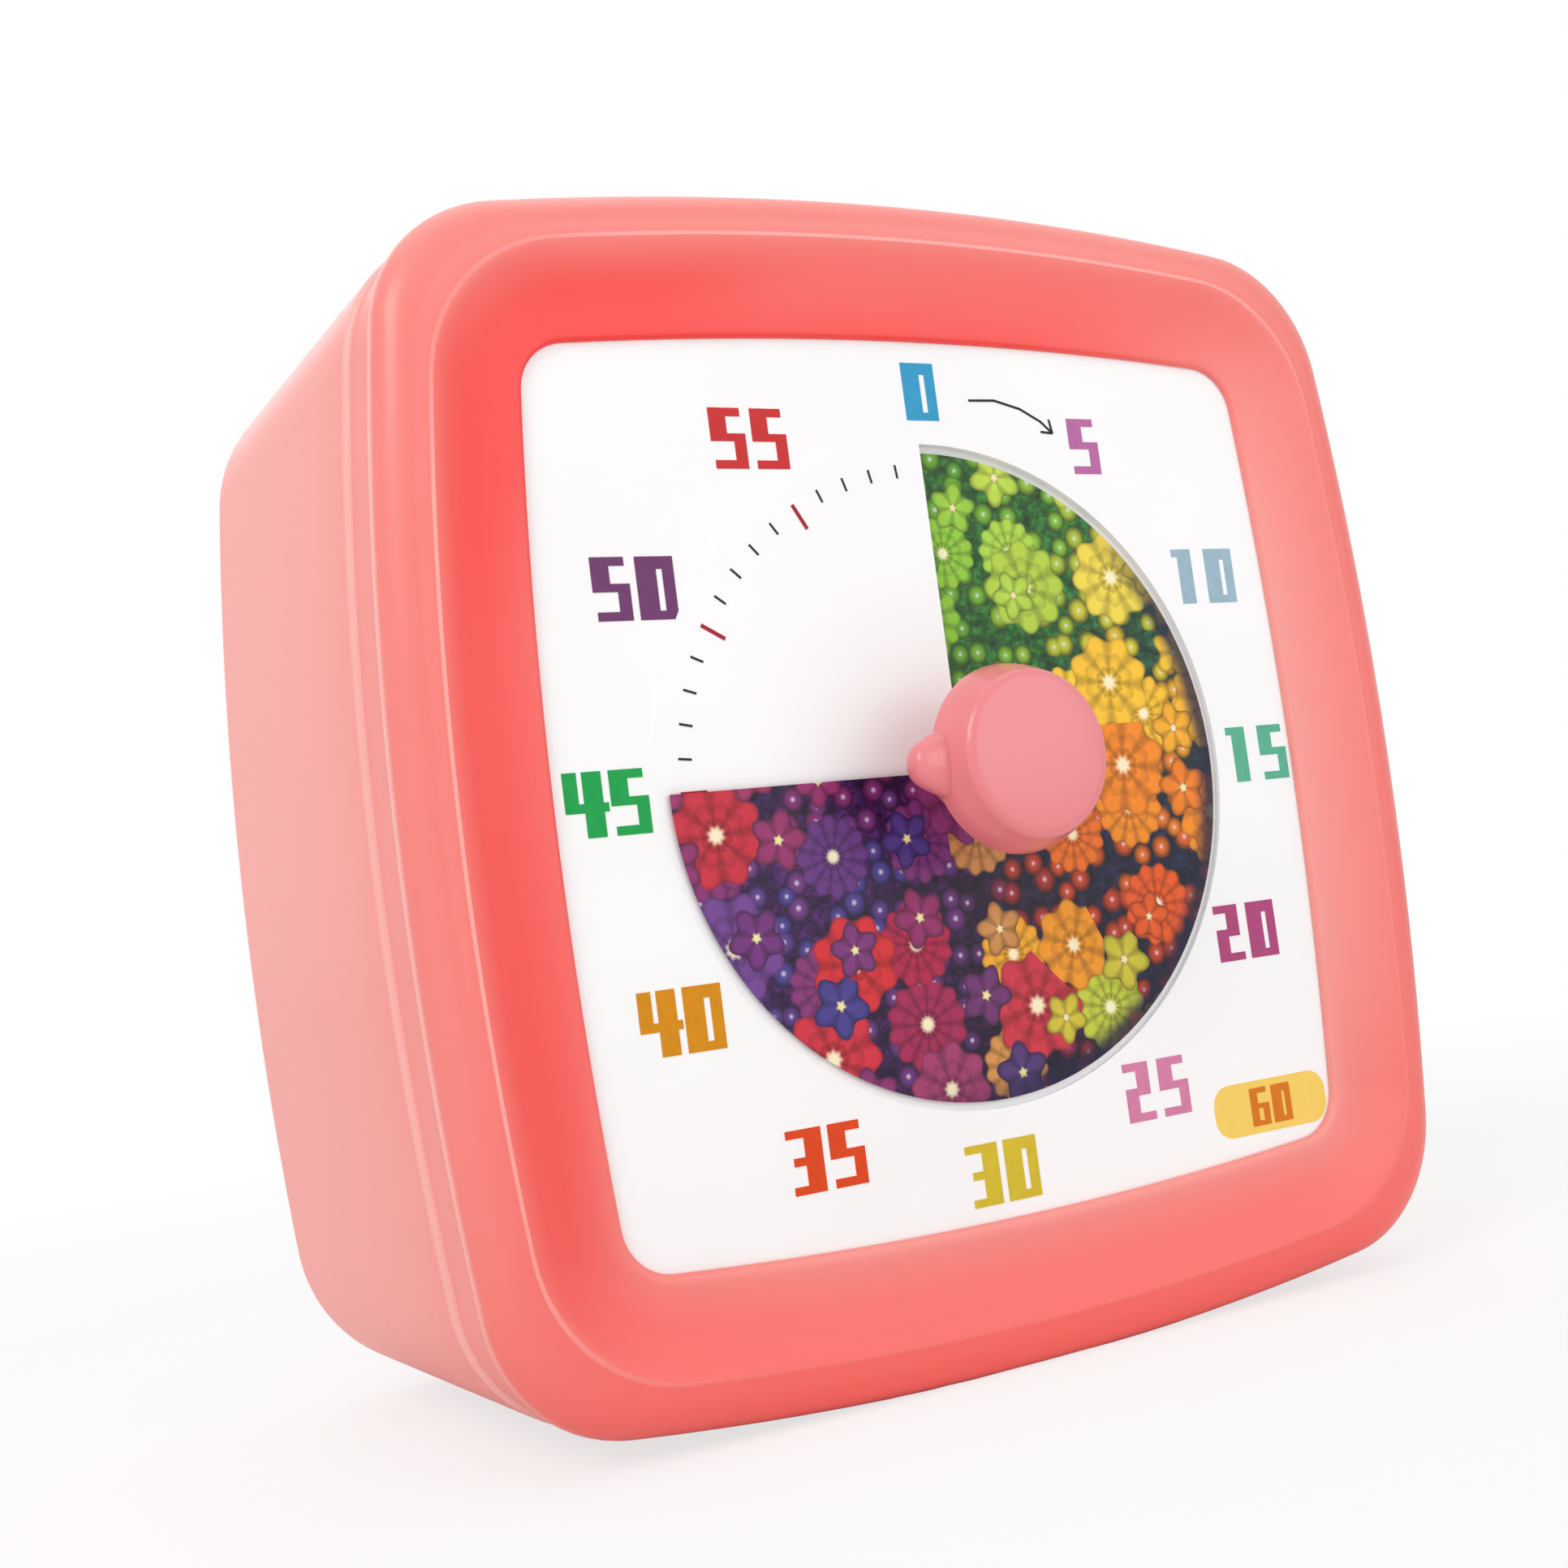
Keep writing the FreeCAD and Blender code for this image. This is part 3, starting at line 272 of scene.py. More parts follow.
def blended(tree, share, under, over, kind="MIX"):
    node = tree.nodes.new("ShaderNodeMix")
    node.data_type = "RGBA"
    node.blend_type = kind
    for index, value in ((0, share), (6, under), (7, over)):
        put(tree, node.inputs[index], value)
    return node.outputs[2]


def noise(tree, place, scale, detail=4.0, rough=0.5):
    n = tree.nodes.new("ShaderNodeTexNoise")
    n.inputs["Scale"].default_value = scale
    n.inputs["Detail"].default_value = detail
    n.inputs["Roughness"].default_value = rough
    tree.links.new(place, n.inputs["Vector"])
    return n.outputs["Fac"]


def ramp(tree, value, stops):
    """Colour ramp; a stop's colour is a code or a grey level."""
    r = tree.nodes.new("ShaderNodeValToRGB")
    els = r.color_ramp.elements
    while len(els) < len(stops):
        els.new(0.5)
    for e, (pos, col) in zip(els, stops):
        e.position = pos
        e.color = srgb(col) if isinstance(col, str) else (col, col, col, 1.0)
    tree.links.new(value, r.inputs["Fac"])
    return r.outputs["Color"]


def spread(tree, value, low, high, start=0.0, end=1.0, kind="LINEAR"):
    """Carry a value's stretch from start to end over to low to high."""
    m = tree.nodes.new("ShaderNodeMapRange")
    m.interpolation_type = kind
    for name, limit in (("From Min", start), ("From Max", end), ("To Min", low), ("To Max", high)):
        m.inputs[name].default_value = limit
    tree.links.new(value, m.inputs["Value"])
    return m.outputs["Result"]


def bump(tree, shader, height, strength, distance):
    b = tree.nodes.new("ShaderNodeBump")
    b.inputs["Strength"].default_value = strength
    b.inputs["Distance"].default_value = distance
    tree.links.new(height, b.inputs["Height"])
    tree.links.new(b.outputs["Normal"], shader.inputs["Normal"])


def split_xyz(tree, vector):
    node = tree.nodes.new("ShaderNodeSeparateXYZ")
    tree.links.new(vector, node.inputs["Vector"])
    return node.outputs["X"], node.outputs["Y"], node.outputs["Z"]


def from_dial(tree, place):
    """Sockets of x, depth and z in millimetres from the dial's middle."""
    shift = tree.nodes.new("ShaderNodeMapping")
    shift.inputs["Location"].default_value = -at(0, 0, 0)/MM
    shift.inputs["Scale"].default_value = (1.0/MM, 1.0/MM, 1.0/MM)
    tree.links.new(place, shift.inputs["Vector"])
    return split_xyz(tree, shift.outputs["Vector"])


def plastic_skin(tree, shader, place, rough, gloss, deep, grain=2600.0, depth=0.000012):
    """Fine moulded grain, gloss and a little light inside."""
    fine = noise(tree, place, grain, 2.0)
    tree.links.new(spread(tree, fine, rough-0.05, rough+0.05), shader.inputs["Roughness"])
    bump(tree, shader, fine, 0.25, depth)
    shader.inputs["Coat Weight"].default_value = gloss
    shader.inputs["Coat Roughness"].default_value = 0.14
    shader.inputs["Subsurface Weight"].default_value = deep
    shader.inputs["Subsurface Radius"].default_value = (1.0, 0.45, 0.35)
    shader.inputs["Subsurface Scale"].default_value = 0.0015


def clouded(tree, shader, place, colour):
    """A colour with the faint clouds of moulded plastic."""
    cloud = ramp(tree, noise(tree, place, 38.0, 3.0), [(0.3, 0.97), (0.7, 1.0)])
    tree.links.new(blended(tree, 1.0, colour, cloud, "MULTIPLY"), shader.inputs["Base Color"])


def moulded(name, dark, light, rough, gloss=0.0, deep=0.0, grain=2600.0, depth=0.000012):
    """Moulded plastic with a faint cloudy colour."""
    m, tree, shader, place = material(name)
    cloud = noise(tree, place, 38.0, 3.0)
    tree.links.new(ramp(tree, cloud, [(0.3, dark), (0.7, light)]), shader.inputs["Base Color"])
    plastic_skin(tree, shader, place, rough, gloss, deep, grain, depth)
    return m


def metal(name, dark, light, rough, scale=900.0):
    """Plain bright metal with drawn scratches."""
    m, tree, shader, place = material(name)
    fine = noise(tree, place, scale, 5.0, 0.6)
    tree.links.new(ramp(tree, fine, [(0.3, dark), (0.7, light)]), shader.inputs["Base Color"])
    tree.links.new(spread(tree, fine, rough-0.08, rough+0.1), shader.inputs["Roughness"])
    shader.inputs["Metallic"].default_value = 1.0
    bump(tree, shader, fine, 0.2, 0.00001)
    return m


def ink(name, code, uneven=0.08):
    """Printed ink, a little uneven."""
    m, tree, shader, place = material(name)
    full = srgb(code)
    grain = noise(tree, place, 1400.0, 3.0)
    tone = ramp(tree, grain, [(0.35, 1.0-uneven), (0.65, 1.0)])
    tree.links.new(blended(tree, 1.0, full, tone, "MULTIPLY"), shader.inputs["Base Color"])
    tree.links.new(spread(tree, grain, 0.45, 0.6), shader.inputs["Roughness"])
    shader.inputs["Specular IOR Level"].default_value = 0.15
    return m


def paint(obj, m):
    obj.data.materials.clear()
    obj.data.materials.append(m)


def frame_finish():
    """Coral of the front frame with painted light and shade: the outer roll by the seam is painted paler on
    the upper left and deeper below, a painted highlight runs along the crest's ridge, and painted shade
    deepens the slopes that face away from the upper left, most on the upper left slope.
    """
    m, tree, shader, place = material("coral_gloss")
    node = tree.nodes.new("ShaderNodeAttribute")
    node.attribute_name = "across"
    across = node.outputs["Fac"]
    x, _, z = from_dial(tree, place)
    # painted light and shade: each side's ramp runs across the frame, paler where that side faces the light
    # and deeper where it faces away
    left = ramp(tree, across, [
        (0.0, "fbb9b2"), (0.06, "fbb4ad"), (0.10, "f5837b"), (0.30, "f5817a"), (0.45, "f7766e"),
        (0.505, "fb6f67"), (0.60, "fb514a"), (0.74, "fb453f"), (0.90, "fb4f48"), (1.0, "fb5c55")])
    top = ramp(tree, across, [
        (0.0, "fbada6"), (0.06, "fba9a1"), (0.10, "f68c84"), (0.40, "f6877f"), (0.45, "f88078"),
        (0.505, "fb7e76"), (0.60, "fb6d65"), (0.74, "fb5e56"), (0.90, "fb4a43"), (1.0, "fb3b35")])
    bottom = ramp(tree, across, [
        (0.0, "fb857d"), (0.06, "fb827a"), (0.10, "fb645c"), (0.30, "fb655d"), (0.45, "f7665e"),
        (0.505, "f6645c"), (0.75, "f5675f"), (0.90, "f67870"), (1.0, "fb938b")])
    right = ramp(tree, across, [
        (0.0, "f58b83"), (0.08, "f36f67"), (0.40, "f3726a"), (0.505, "f37a72"), (0.80, "f58980"),
        (1.0, "f8968e")])
    # towards the upper right and towards the upper left, in millimetres
    falling = maths(tree, "ADD", x, z)
    rising = maths(tree, "SUBTRACT", z, x)
    upper_left_sides_painted_light = blended(tree, spread(tree, falling, 0.0, 1.0, -14.0, 14.0, "SMOOTHSTEP"), left, top)
    plain = blended(tree, spread(tree, falling, 0.0, 1.0, -12.0, 22.0, "SMOOTHSTEP"), bottom, right)
    colour = blended(tree, spread(tree, rising, 0.0, 1.0, -22.0, 26.0, "SMOOTHSTEP"), plain, upper_left_sides_painted_light)
    # painted shade: a deep coral patch on the upper left slope
    painted_deep_shade = maths(tree, "MULTIPLY", spread(tree, rising, 0.0, 0.75, 42.0, 56.0, "SMOOTHSTEP"),
                  spread(tree, rising, 1.0, 0.35, 60.0, 72.0, "SMOOTHSTEP"))
    painted_deep_shade = maths(tree, "MULTIPLY", painted_deep_shade, spread(tree, across, 0.0, 1.0, 0.54, 0.78, "SMOOTHSTEP"))
    colour = blended(tree, painted_deep_shade, colour, srgb("fb2d28"))
    # painted highlight: a pale line along the crest's ridge, strongest on the upper left and faint on the
    # lower right
    ridge = maths(tree, "MULTIPLY", spread(tree, rising, 0.12, 0.95, -20.0, 24.0, "SMOOTHSTEP"),
                  spread(tree, rising, 1.0, 0.3, 58.0, 70.0, "SMOOTHSTEP"))
    crest_highlight_line = ramp(tree, across, [(0.452, 0.0), (0.465, 1.0), (0.485, 1.0), (0.503, 0.0)])
    ridge = maths(tree, "MULTIPLY", ridge, crest_highlight_line)
    colour = blended(tree, ridge, colour, srgb("fba8a0"))
    clouded(tree, shader, place, colour)
    plastic_skin(tree, shader, place, 0.36, 0.15, 0.12)
    return m


def case_coral_and_painted_light():
    """Coral of the case: painted shade darkens the band behind the frame, and a painted highlight runs
    along the edge behind the band.
    """
    m, tree, shader, place = material("coral_satin")
    _, depth, _ = from_dial(tree, place)
    # painted shade on the band behind the frame, then a painted highlight along the edge behind it; a
    # little paler towards the back
    colour = ramp(tree, spread(tree, depth, 0.0, 1.0, 0.0, CASE_DEPTH), [
        (0.0, "f78a82"), (0.124, "f78f87"), (0.132, "fbb8b2"), (0.139, "fbb8b2"), (0.147, "f9928b"),
        (0.30, "fb9b94"), (0.60, "fba099"), (0.94, "fba29b"), (1.0, "fb9a92")])
    clouded(tree, shader, place, colour)
    plastic_skin(tree, shader, place, 0.42, 0.08, 0.12)
    return m


# Camera: stands to the left, looks 29.7 degrees round and 4.6 degrees up, rolled by 7.3 degrees
RIGHT = Vector((0.86676, -0.48232, -0.12684))
DOWN = Vector((-0.07157, 0.13140, -0.98874))
AHEAD = Vector((0.49356, 0.86608, 0.07937))
EYE = at(-81.9806, -117.9230, -10.6785)
FOCAL_PX = 2439.97
FRAME_PX = 1932.0
SENSOR = 36.0


def photo_camera():
    cam = bpy.data.objects.new("camera", bpy.data.cameras.new("camera"))
    bpy.context.scene.collection.objects.link(cam)
    cam.data.sensor_fit = "HORIZONTAL"
    cam.data.sensor_width = SENSOR
    cam.data.lens = SENSOR*FOCAL_PX/FRAME_PX
    cam.data.clip_start = 0.01
    m = Matrix((RIGHT, -DOWN, -AHEAD)).transposed().to_4x4()
    m.translation = EYE
    cam.matrix_world = m
    bpy.context.scene.camera = cam


# Front frame

def frame_outline(half):
    """Outline at a half width: on the roll outside the crest, or on the slope inside it."""
    inner, outer = (CREST, RIM) if half > CREST[0] else (OPENING, CREST)
    return between(inner, outer, (half-inner[0])/(outer[0]-inner[0]))


def frame_section():
    """(half width, depth, share of the way across) from the seam round the face to the back."""
    section = [(RIM[0]-inward, BEZEL_DEPTH-forward, SEAM_SHARE) for inward, forward in SEAM_EDGE]
    for i in range(ROLL_STEPS+1):
        t = i/ROLL_STEPS
        a = math.radians(ROLL_FIRST+(90.0-ROLL_FIRST)*t)
        section.append((RIM[0]-BEZEL_ROLL*(1.0-math.cos(a)), CREST_DEPTH+BEZEL_ROLL*(1.0-math.sin(a)),
                        ROLL_SHARE+(CREST_SHARE-ROLL_SHARE)*t))
    section += [(half, CREST_DEPTH-RIDGE_RISE*rise, share) for half, rise, share in RIDGE]
    for i in range(SLOPE_STEPS+1):
        t = i/SLOPE_STEPS
        section.append((CREST[0]+(LIP_HALF-CREST[0])*t,
                        LIP_DEPTH-(LIP_DEPTH-CREST_DEPTH)*(1.0-t)**SLOPE_HOLLOW,
                        SLOPE_SHARE+(1.0-SLOPE_SHARE)*t))
    section += [(OPENING[0]+out, LIP_DEPTH+behind, 1.0) for out, behind in LIP_EDGE]
    section += [(OPENING[0], FRAME_BACK, 1.0), (FRAME_LEG, FRAME_BACK, 1.0), (FRAME_FOOT, BEZEL_DEPTH, 1.0)]
    return section


def make_front_frame():
    """Pillow-shaped frame: soft outer roll, ridge on the crest, hollow slope to the lip round the dial."""
    section = frame_section()
    cover = ring_stack("bezel_cover", [(frame_outline(half), depth) for half, depth, _ in section],
                       RIM[0]-FOOT_FLAT)
    across = cover.data.attributes.new("across", "FLOAT", "POINT")
    count = len(cover.data.vertices)//len(section)
    for i, value in enumerate(across.data):
        value.value = section[min(i//count, len(section)-1)][2]
    paint(cover, frame_finish())
    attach(cover, "case")
    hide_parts("front_bezel")


# Knob

def knob_profile():
    """(radius, depth) from the foot of the stem round the head to the face's middle."""
    pts = [(KNOB_BORE, KNOB_FOOT), (KNOB_STEM_R-STEM_EDGE, KNOB_FOOT), (KNOB_STEM_R, KNOB_FOOT-STEM_EDGE)]
    neck = KNOB_FOOT-KNOB_STEM
    for i in range(1, FLARE_STEPS+1):
        t = i/FLARE_STEPS
        a = math.radians(90.0*t)
        r = KNOB_R-(KNOB_R-KNOB_STEM_R)*math.cos(a)**FLARE_CURVE
        pts.append((r, neck+(KNOB_WIDE-neck)*(FLARE_LEAN*math.sin(a)+(1.0-FLARE_LEAN)*t)))
    pts += KNOB_SIDE
    for i in range(1, EDGE_STEPS+1):
        a = math.radians(EDGE_FIRST+(90.0-EDGE_FIRST)*i/EDGE_STEPS)
        pts.append((EDGE_R+EDGE_OUT*math.cos(a), EDGE_DEPTH-EDGE_FORWARD*math.sin(a)))
    pts += KNOB_FACE
    return pts


def make_knob():
    """Mushroom head drawn out ring by ring from its profile, with the soft pointer on its rim."""
    nothing_selected()
    profile = knob_profile()
    bpy.ops.mesh.primitive_circle_add(vertices=KNOB_SIDES, radius=profile[0][0]*MM, fill_type="NOTHING",
                                      location=at(0, profile[0][1], 0), rotation=(math.pi/2, 0, 0))
    head = named("knob_head")
    place_applied()
    bpy.ops.object.mode_set(mode="EDIT")
    bpy.ops.mesh.select_all(action="SELECT")
    mid = at(0, 0, 0)
    for r, d in profile[1:]:
        bpy.ops.mesh.extrude_region_move()
        mesh = bmesh.from_edit_mesh(head.data)
        for v in mesh.verts:
            if v.select:
                a = math.atan2(v.co.z-mid.z, v.co.x-mid.x)
                v.co = at(r*math.cos(a), d, r*math.sin(a))
        bmesh.update_edit_mesh(head.data)
    bpy.ops.mesh.merge(type="CENTER")
    mesh = bmesh.from_edit_mesh(head.data)
    for v in mesh.verts:
        if v.select:
            v.co = at(0, KNOB_FRONT, 0)
    bmesh.update_edit_mesh(head.data)
    bpy.ops.object.mode_set(mode="OBJECT")
    settle(head, 40.0)
    pointer = make_pointer()
    for piece in (head, pointer):
        paint(piece, knob_pink)
        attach(piece, "knob")
    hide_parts("knob")


def make_pointer():
    """Pointer: a block drawn out to a narrow tip and rounded all over."""
    nothing_selected()
    bpy.ops.mesh.primitive_cube_add(size=1.0, location=at(POINTER_X, POINTER_DEPTH, 0))
    obj = named("knob_pointer")
    obj.scale = Vector(POINTER_ROOT)*MM
    place_applied()
    bpy.ops.object.mode_set(mode="EDIT")
    bpy.ops.mesh.select_all(action="DESELECT")
    mesh = bmesh.from_edit_mesh(obj.data)
    left = at(POINTER_ENDS, 0, 0).x
    for f in mesh.faces:
        if f.calc_center_median().x < left:
            f.select_set(True)
    bmesh.update_edit_mesh(obj.data)
    for x, width, front, back in POINTER_SECTIONS:
        bpy.ops.mesh.extrude_region_move()
        mesh = bmesh.from_edit_mesh(obj.data)
        verts = [v for v in mesh.verts if v.select]
        mid_y = sum(v.co.y for v in verts)/len(verts)
        mid_z = at(0, 0, 0).z
        for v in verts:
            v.co = at(x, front if v.co.y < mid_y else back, width/2 if v.co.z > mid_z else -width/2)
        bmesh.update_edit_mesh(obj.data)
    bpy.ops.object.mode_set(mode="OBJECT")
    soft = obj.modifiers.new("rounding", "SUBSURF")
    soft.levels = POINTER_ROUNDING
    soft.render_levels = POINTER_ROUNDING
    bpy.ops.object.modifier_apply(modifier=soft.name)
    return settle(obj, 60.0)


# Print on the dial: each figure is a few blocks (left, low, right, high) in shares of its height
DIGITS = {
    "0": ((0, 0, .33, 1), (.33, 0, .43, .14), (.33, .80, .43, 1), (.43, 0, .62, 1)),
    "1": ((.12, 0, .42, 1), (0, .86, .12, 1)),
    "2": ((0, .86, .52, 1), (.26, .57, .52, .86), (.02, .44, .52, .57), (.02, .14, .27, .44),
          (.02, 0, .58, .14)),
    "3": ((0, .87, .30, 1), (.10, .44, .30, .57), (.06, 0, .30, .13), (.30, 0, .60, 1)),
    "4": ((0, .52, .22, 1), (0, .38, .30, .52), (.30, 0, .60, 1), (.60, .38, .68, .52)),
    "5": ((0, .86, .54, 1), (0, .58, .29, .86), (0, .45, .60, .58), (.40, .14, .60, .45),
          (.04, 0, .60, .14)),
    "6": ((0, 0, .24, 1), (.24, .86, .54, 1), (.24, .45, .60, .58), (.40, .13, .60, .45),
          (.24, 0, .60, .13)),
}
# figure, x, z, ink
MINUTES = (
    ("0", 0.85, 28.25, "3a9fcc"), ("5", 15.5, 24.3, "bd6fa8"), ("10", 25.7, 13.9, "9fbccb"),
    ("15", 28.6, -0.5, "5fb595"), ("20", 24.7, -14.3, "b34c80"), ("25", 13.8, -25.0, "d884aa"),
    ("30", -1.0, -28.7, "d8bf33"), ("35", -15.1, -25.4, "e04a1c"), ("40", -24.7, -14.9, "d98f14"),
    ("45", -28.1, -0.2, "22a550"), ("50", -24.3, 14.05, "73416f"), ("55", -14.0, 24.5, "cf3838"))
# strokes: name, every fifth minute, inner and outer radius, width, ink
MARKS = (("minute_marks", False, 21.75, 22.75, 0.16, PRINT_BLACK),
         ("five_minute_marks", True, 20.75, 22.75, 0.28, "a8283c"))

# arrow from nought towards five: its line, half width, the barbs' meeting point, length and turns
ARROW_LINE = ((5.2, 27.7), (7.5, 27.75), (9.8, 27.15), (11.6, 26.2), (12.5, 25.4))
ARROW_HALF = 0.09
ARROW_JOIN = 0.04
ARROW_TIP = (12.6, 25.3)
BARB_DEPTH = -0.008
BARB_LONG = 1.1
BARB_TURNS = (-100.0, -175.0)

# label: patch (left, low, right, high), then the place and height of its number
LABEL = (18.95, -29.8, 30.35, -25.8)
LABEL_DEPTH = -0.004
LABEL_CORNER = 1.6
LABEL_THICK = 0.02
LABEL_NUMBER = (24.65, -27.8)
LABEL_TALL = 2.9
LABEL_NUMBER_DEPTH = -0.026


def flat_block(x0, z0, x1, z1, depth):
    """Flat rectangle facing the viewer."""
    bpy.ops.mesh.primitive_plane_add(size=1.0, location=at((x0+x1)/2, depth, (z0+z1)/2),
                                     rotation=(math.pi/2, 0, 0))
    obj = bpy.context.object
    obj.scale = ((x1-x0)*MM, (z1-z0)*MM, 1.0)
    place_applied()
    return obj


def turned(obj, degrees, x=0.0, z=0.0):
    """Turn a piece clockwise about the dial's middle, then carry it to x, z."""
    middle = at(0, 0, 0)
    obj.data.transform(Matrix.Translation(at(x, 0, z)) @ Matrix.Rotation(math.radians(degrees), 4, "Y")
                       @ Matrix.Translation(-middle))
    return obj


def printed(parts, name, finish, thick=PRINT):
    """Join flat blocks, thicken them towards the viewer and let them ride on the case."""
    nothing_selected()
    for p in parts:
        p.select_set(True)
    bpy.context.view_layer.objects.active = parts[0]
    if len(parts) > 1:
        bpy.ops.object.join()
    obj = named(name)
    bpy.ops.object.mode_set(mode="EDIT")
    bpy.ops.mesh.select_all(action="SELECT")
    bpy.ops.mesh.remove_doubles(threshold=1e-7)
    bpy.ops.mesh.extrude_region_move(TRANSFORM_OT_translate={"value": (0, -thick*MM, 0)})
    bpy.ops.object.mode_set(mode="OBJECT")
    settle(obj, 20.0)
    paint(obj, finish)
    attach(obj, "case")


def number(text, x, z, tall, depth, name, code, uneven=0.08):
    """Square block figures centred on a place."""
    nothing_selected()
    step = DIGIT_STEP*tall/DIGIT_TALL
    across = tall*DIGIT_STRETCH
    x0 = x-(step*(len(text)-1)+across*DIGIT_WIDE)/2
    parts = []
    for i, digit in enumerate(text):
        for left, low, right, high in DIGITS[digit]:
            parts.append(flat_block(x0+i*step+left*across, z-tall/2+low*tall,
                                    x0+i*step+right*across, z-tall/2+high*tall, depth))
    printed(parts, name, ink("ink_"+name, code, uneven))


def make_numbers():
    for text, x, z, code in MINUTES:
        number(text, x, z, DIGIT_TALL, FIGURE_DEPTH, "number_"+text, code)


def ramp_depth(angle):
    """Depth of the dial's centre at a clockwise angle from 12 o'clock."""
    return RAMP_START-RAMP_RISE*angle/360.0


def make_marks():
    """Minute strokes on the dial's centre, with a longer one every fifth minute."""
    for name, fifth, inner, outer, wide, code in MARKS:
        parts = []
        nothing_selected()
        for minute in range(1, 60):
            if (minute % 5 == 0) == fifth:
                angle = minute*6.0
                depth = ramp_depth(angle)-MARK_RISE
                parts.append(turned(flat_block(-wide/2, inner, wide/2, outer, depth), angle))
        printed(parts, name, ink("ink_"+name, code))


def make_arrow():
    """Thin curved arrow from nought towards five."""
    nothing_selected()
    parts = []
    for (xa, za), (xb, zb) in zip(ARROW_LINE, ARROW_LINE[1:]):
        reach = math.hypot(xb-xa, zb-za)/2+ARROW_JOIN
        slope = math.degrees(math.atan2(zb-za, xb-xa))
        stroke = flat_block(-reach, -ARROW_HALF, reach, ARROW_HALF, FIGURE_DEPTH)
        parts.append(turned(stroke, -slope, (xa+xb)/2, (za+zb)/2))
    for turn in BARB_TURNS:
        barb = flat_block(0, -ARROW_HALF, BARB_LONG, ARROW_HALF, BARB_DEPTH)
        parts.append(turned(barb, turn, *ARROW_TIP))
    printed(parts, "arrow", ink("ink_arrow", PRINT_BLACK))


def make_label():
    """Yellow rounded patch with a plain number in the dial's lower corner."""
    nothing_selected()
    patch = flat_block(*LABEL, LABEL_DEPTH)
    bpy.ops.object.mode_set(mode="EDIT")
    bpy.ops.mesh.select_all(action="SELECT")
    bpy.ops.mesh.bevel(offset=LABEL_CORNER*MM, segments=8, affect="VERTICES")
    bpy.ops.object.mode_set(mode="OBJECT")
    printed([patch], "label_patch", ink("ink_label_patch", "f9d468", 0.03), LABEL_THICK)
    number("60", *LABEL_NUMBER, LABEL_TALL, LABEL_NUMBER_DEPTH, "label_number", "dd7a1e", 0.05)


# Finishes
case_coral = case_coral_and_painted_light()
knob_pink = moulded("knob_satin", "e67e84", "eb878c", 0.32, 0.32, 0.12)
dial_white = moulded("dial_white", "f7f7f7", "fcfcfc", 0.45, 0.0, 0.0, 1800.0, 0.000004)
black = moulded("black_moulding", "121214", "1c1c1f", 0.4)
ivory = moulded("ivory_moulding", "dedcd2", "ecebe4", 0.45)
clear = moulded("clear_moulding", "c3c8c6", "d6dad8", 0.3)
board_green = moulded("board_green", "0f4a26", "17602f", 0.35, 0.4)
cell_wrap = moulded("cell_wrap", "24405e", "2f5378", 0.28, 0.5)
steel = metal("bright_steel", "9a9a9e", "c2c2c6", 0.32)
iron = metal("yoke_iron", "6a6a6c", "86868a", 0.45)
nickel = metal("nickel_strip", "b0b0aa", "d0d0ca", 0.25)
copper = metal("copper_winding", "9c4f22", "c06a35", 0.35, 2400.0)
brass = metal("sounder_brass", "b08a3c", "cfae62", 0.3)
magnet = metal("magnet_grey", "3a3a3e", "55555a", 0.4)

# Print of the disc: colours round its turn, from nought clockwise
GROUND = ((0.0, "2a6a22"), (0.12, "28702a"), (0.20, "1d4a3a"), (0.30, "1a2142"), (0.40, "231a38"),
          (0.50, "2a1236"), (0.60, "3c1650"), (0.70, "47205e"), (0.80, "2c1a55"), (1.0, "1d3a2a"))
BEADS = ((0.0, "4f9a26"), (0.10, "7fc02e"), (0.19, "d8cf34"), (0.27, "f39420"), (0.38, "d8501f"),
         (0.47, "a32c3a"), (0.53, "4e2a63"), (0.58, "70307c"), (0.68, "4a4496"), (0.75, "8a3078"),
         (0.88, "3c3a80"), (1.0, "2f6a3a"))
BLOOMS = ((0.0, "8ac832"), (0.08, "b3dc48"), (0.15, "e8e24c"), (0.22, "ffcf30"), (0.30, "f8981e"),
          (0.37, "ee5a20"), (0.43, "b4d846"), (0.48, "f6aa26"), (0.53, "3d3a7c"), (0.59, "b3204c"),
          (0.66, "463f90"), (0.72, "7a2c78"), (0.82, "c23a54"), (1.0, "4a8a2e"))
ROSES = ((0.0, "bcd94a"), (0.09, "9fcf3c"), (0.14, "f2e052"), (0.20, "fdcf33"), (0.26, "fba81c"),
         (0.32, "f5701f"), (0.38, "f9bc2c"), (0.44, "f08a1e"), (0.49, "df331f"), (0.56, "6c3f86"),
         (0.62, "dc2c22"), (0.69, "54469c"), (0.75, "cf2a34"), (0.86, "8a3a88"), (1.0, "5f9f3a"))


# light and dark from a motif's middle to its edge
BEAD_TONES = ((0.0, 1.0), (0.45, 0.85), (0.80, 0.30), (1.0, 0.1))
BLOOM_TONES = ((0.0, 0.25), (0.16, 0.3), (0.22, 1.0), (0.78, 0.9), (0.92, 0.5), (1.0, 0.2))
ROSE_TONES = ((0.0, 0.5), (0.10, 0.95), (0.30, 0.62), (0.36, 1.0), (0.60, 0.76), (0.66, 1.0),
              (0.90, 0.95), (1.0, 0.4))
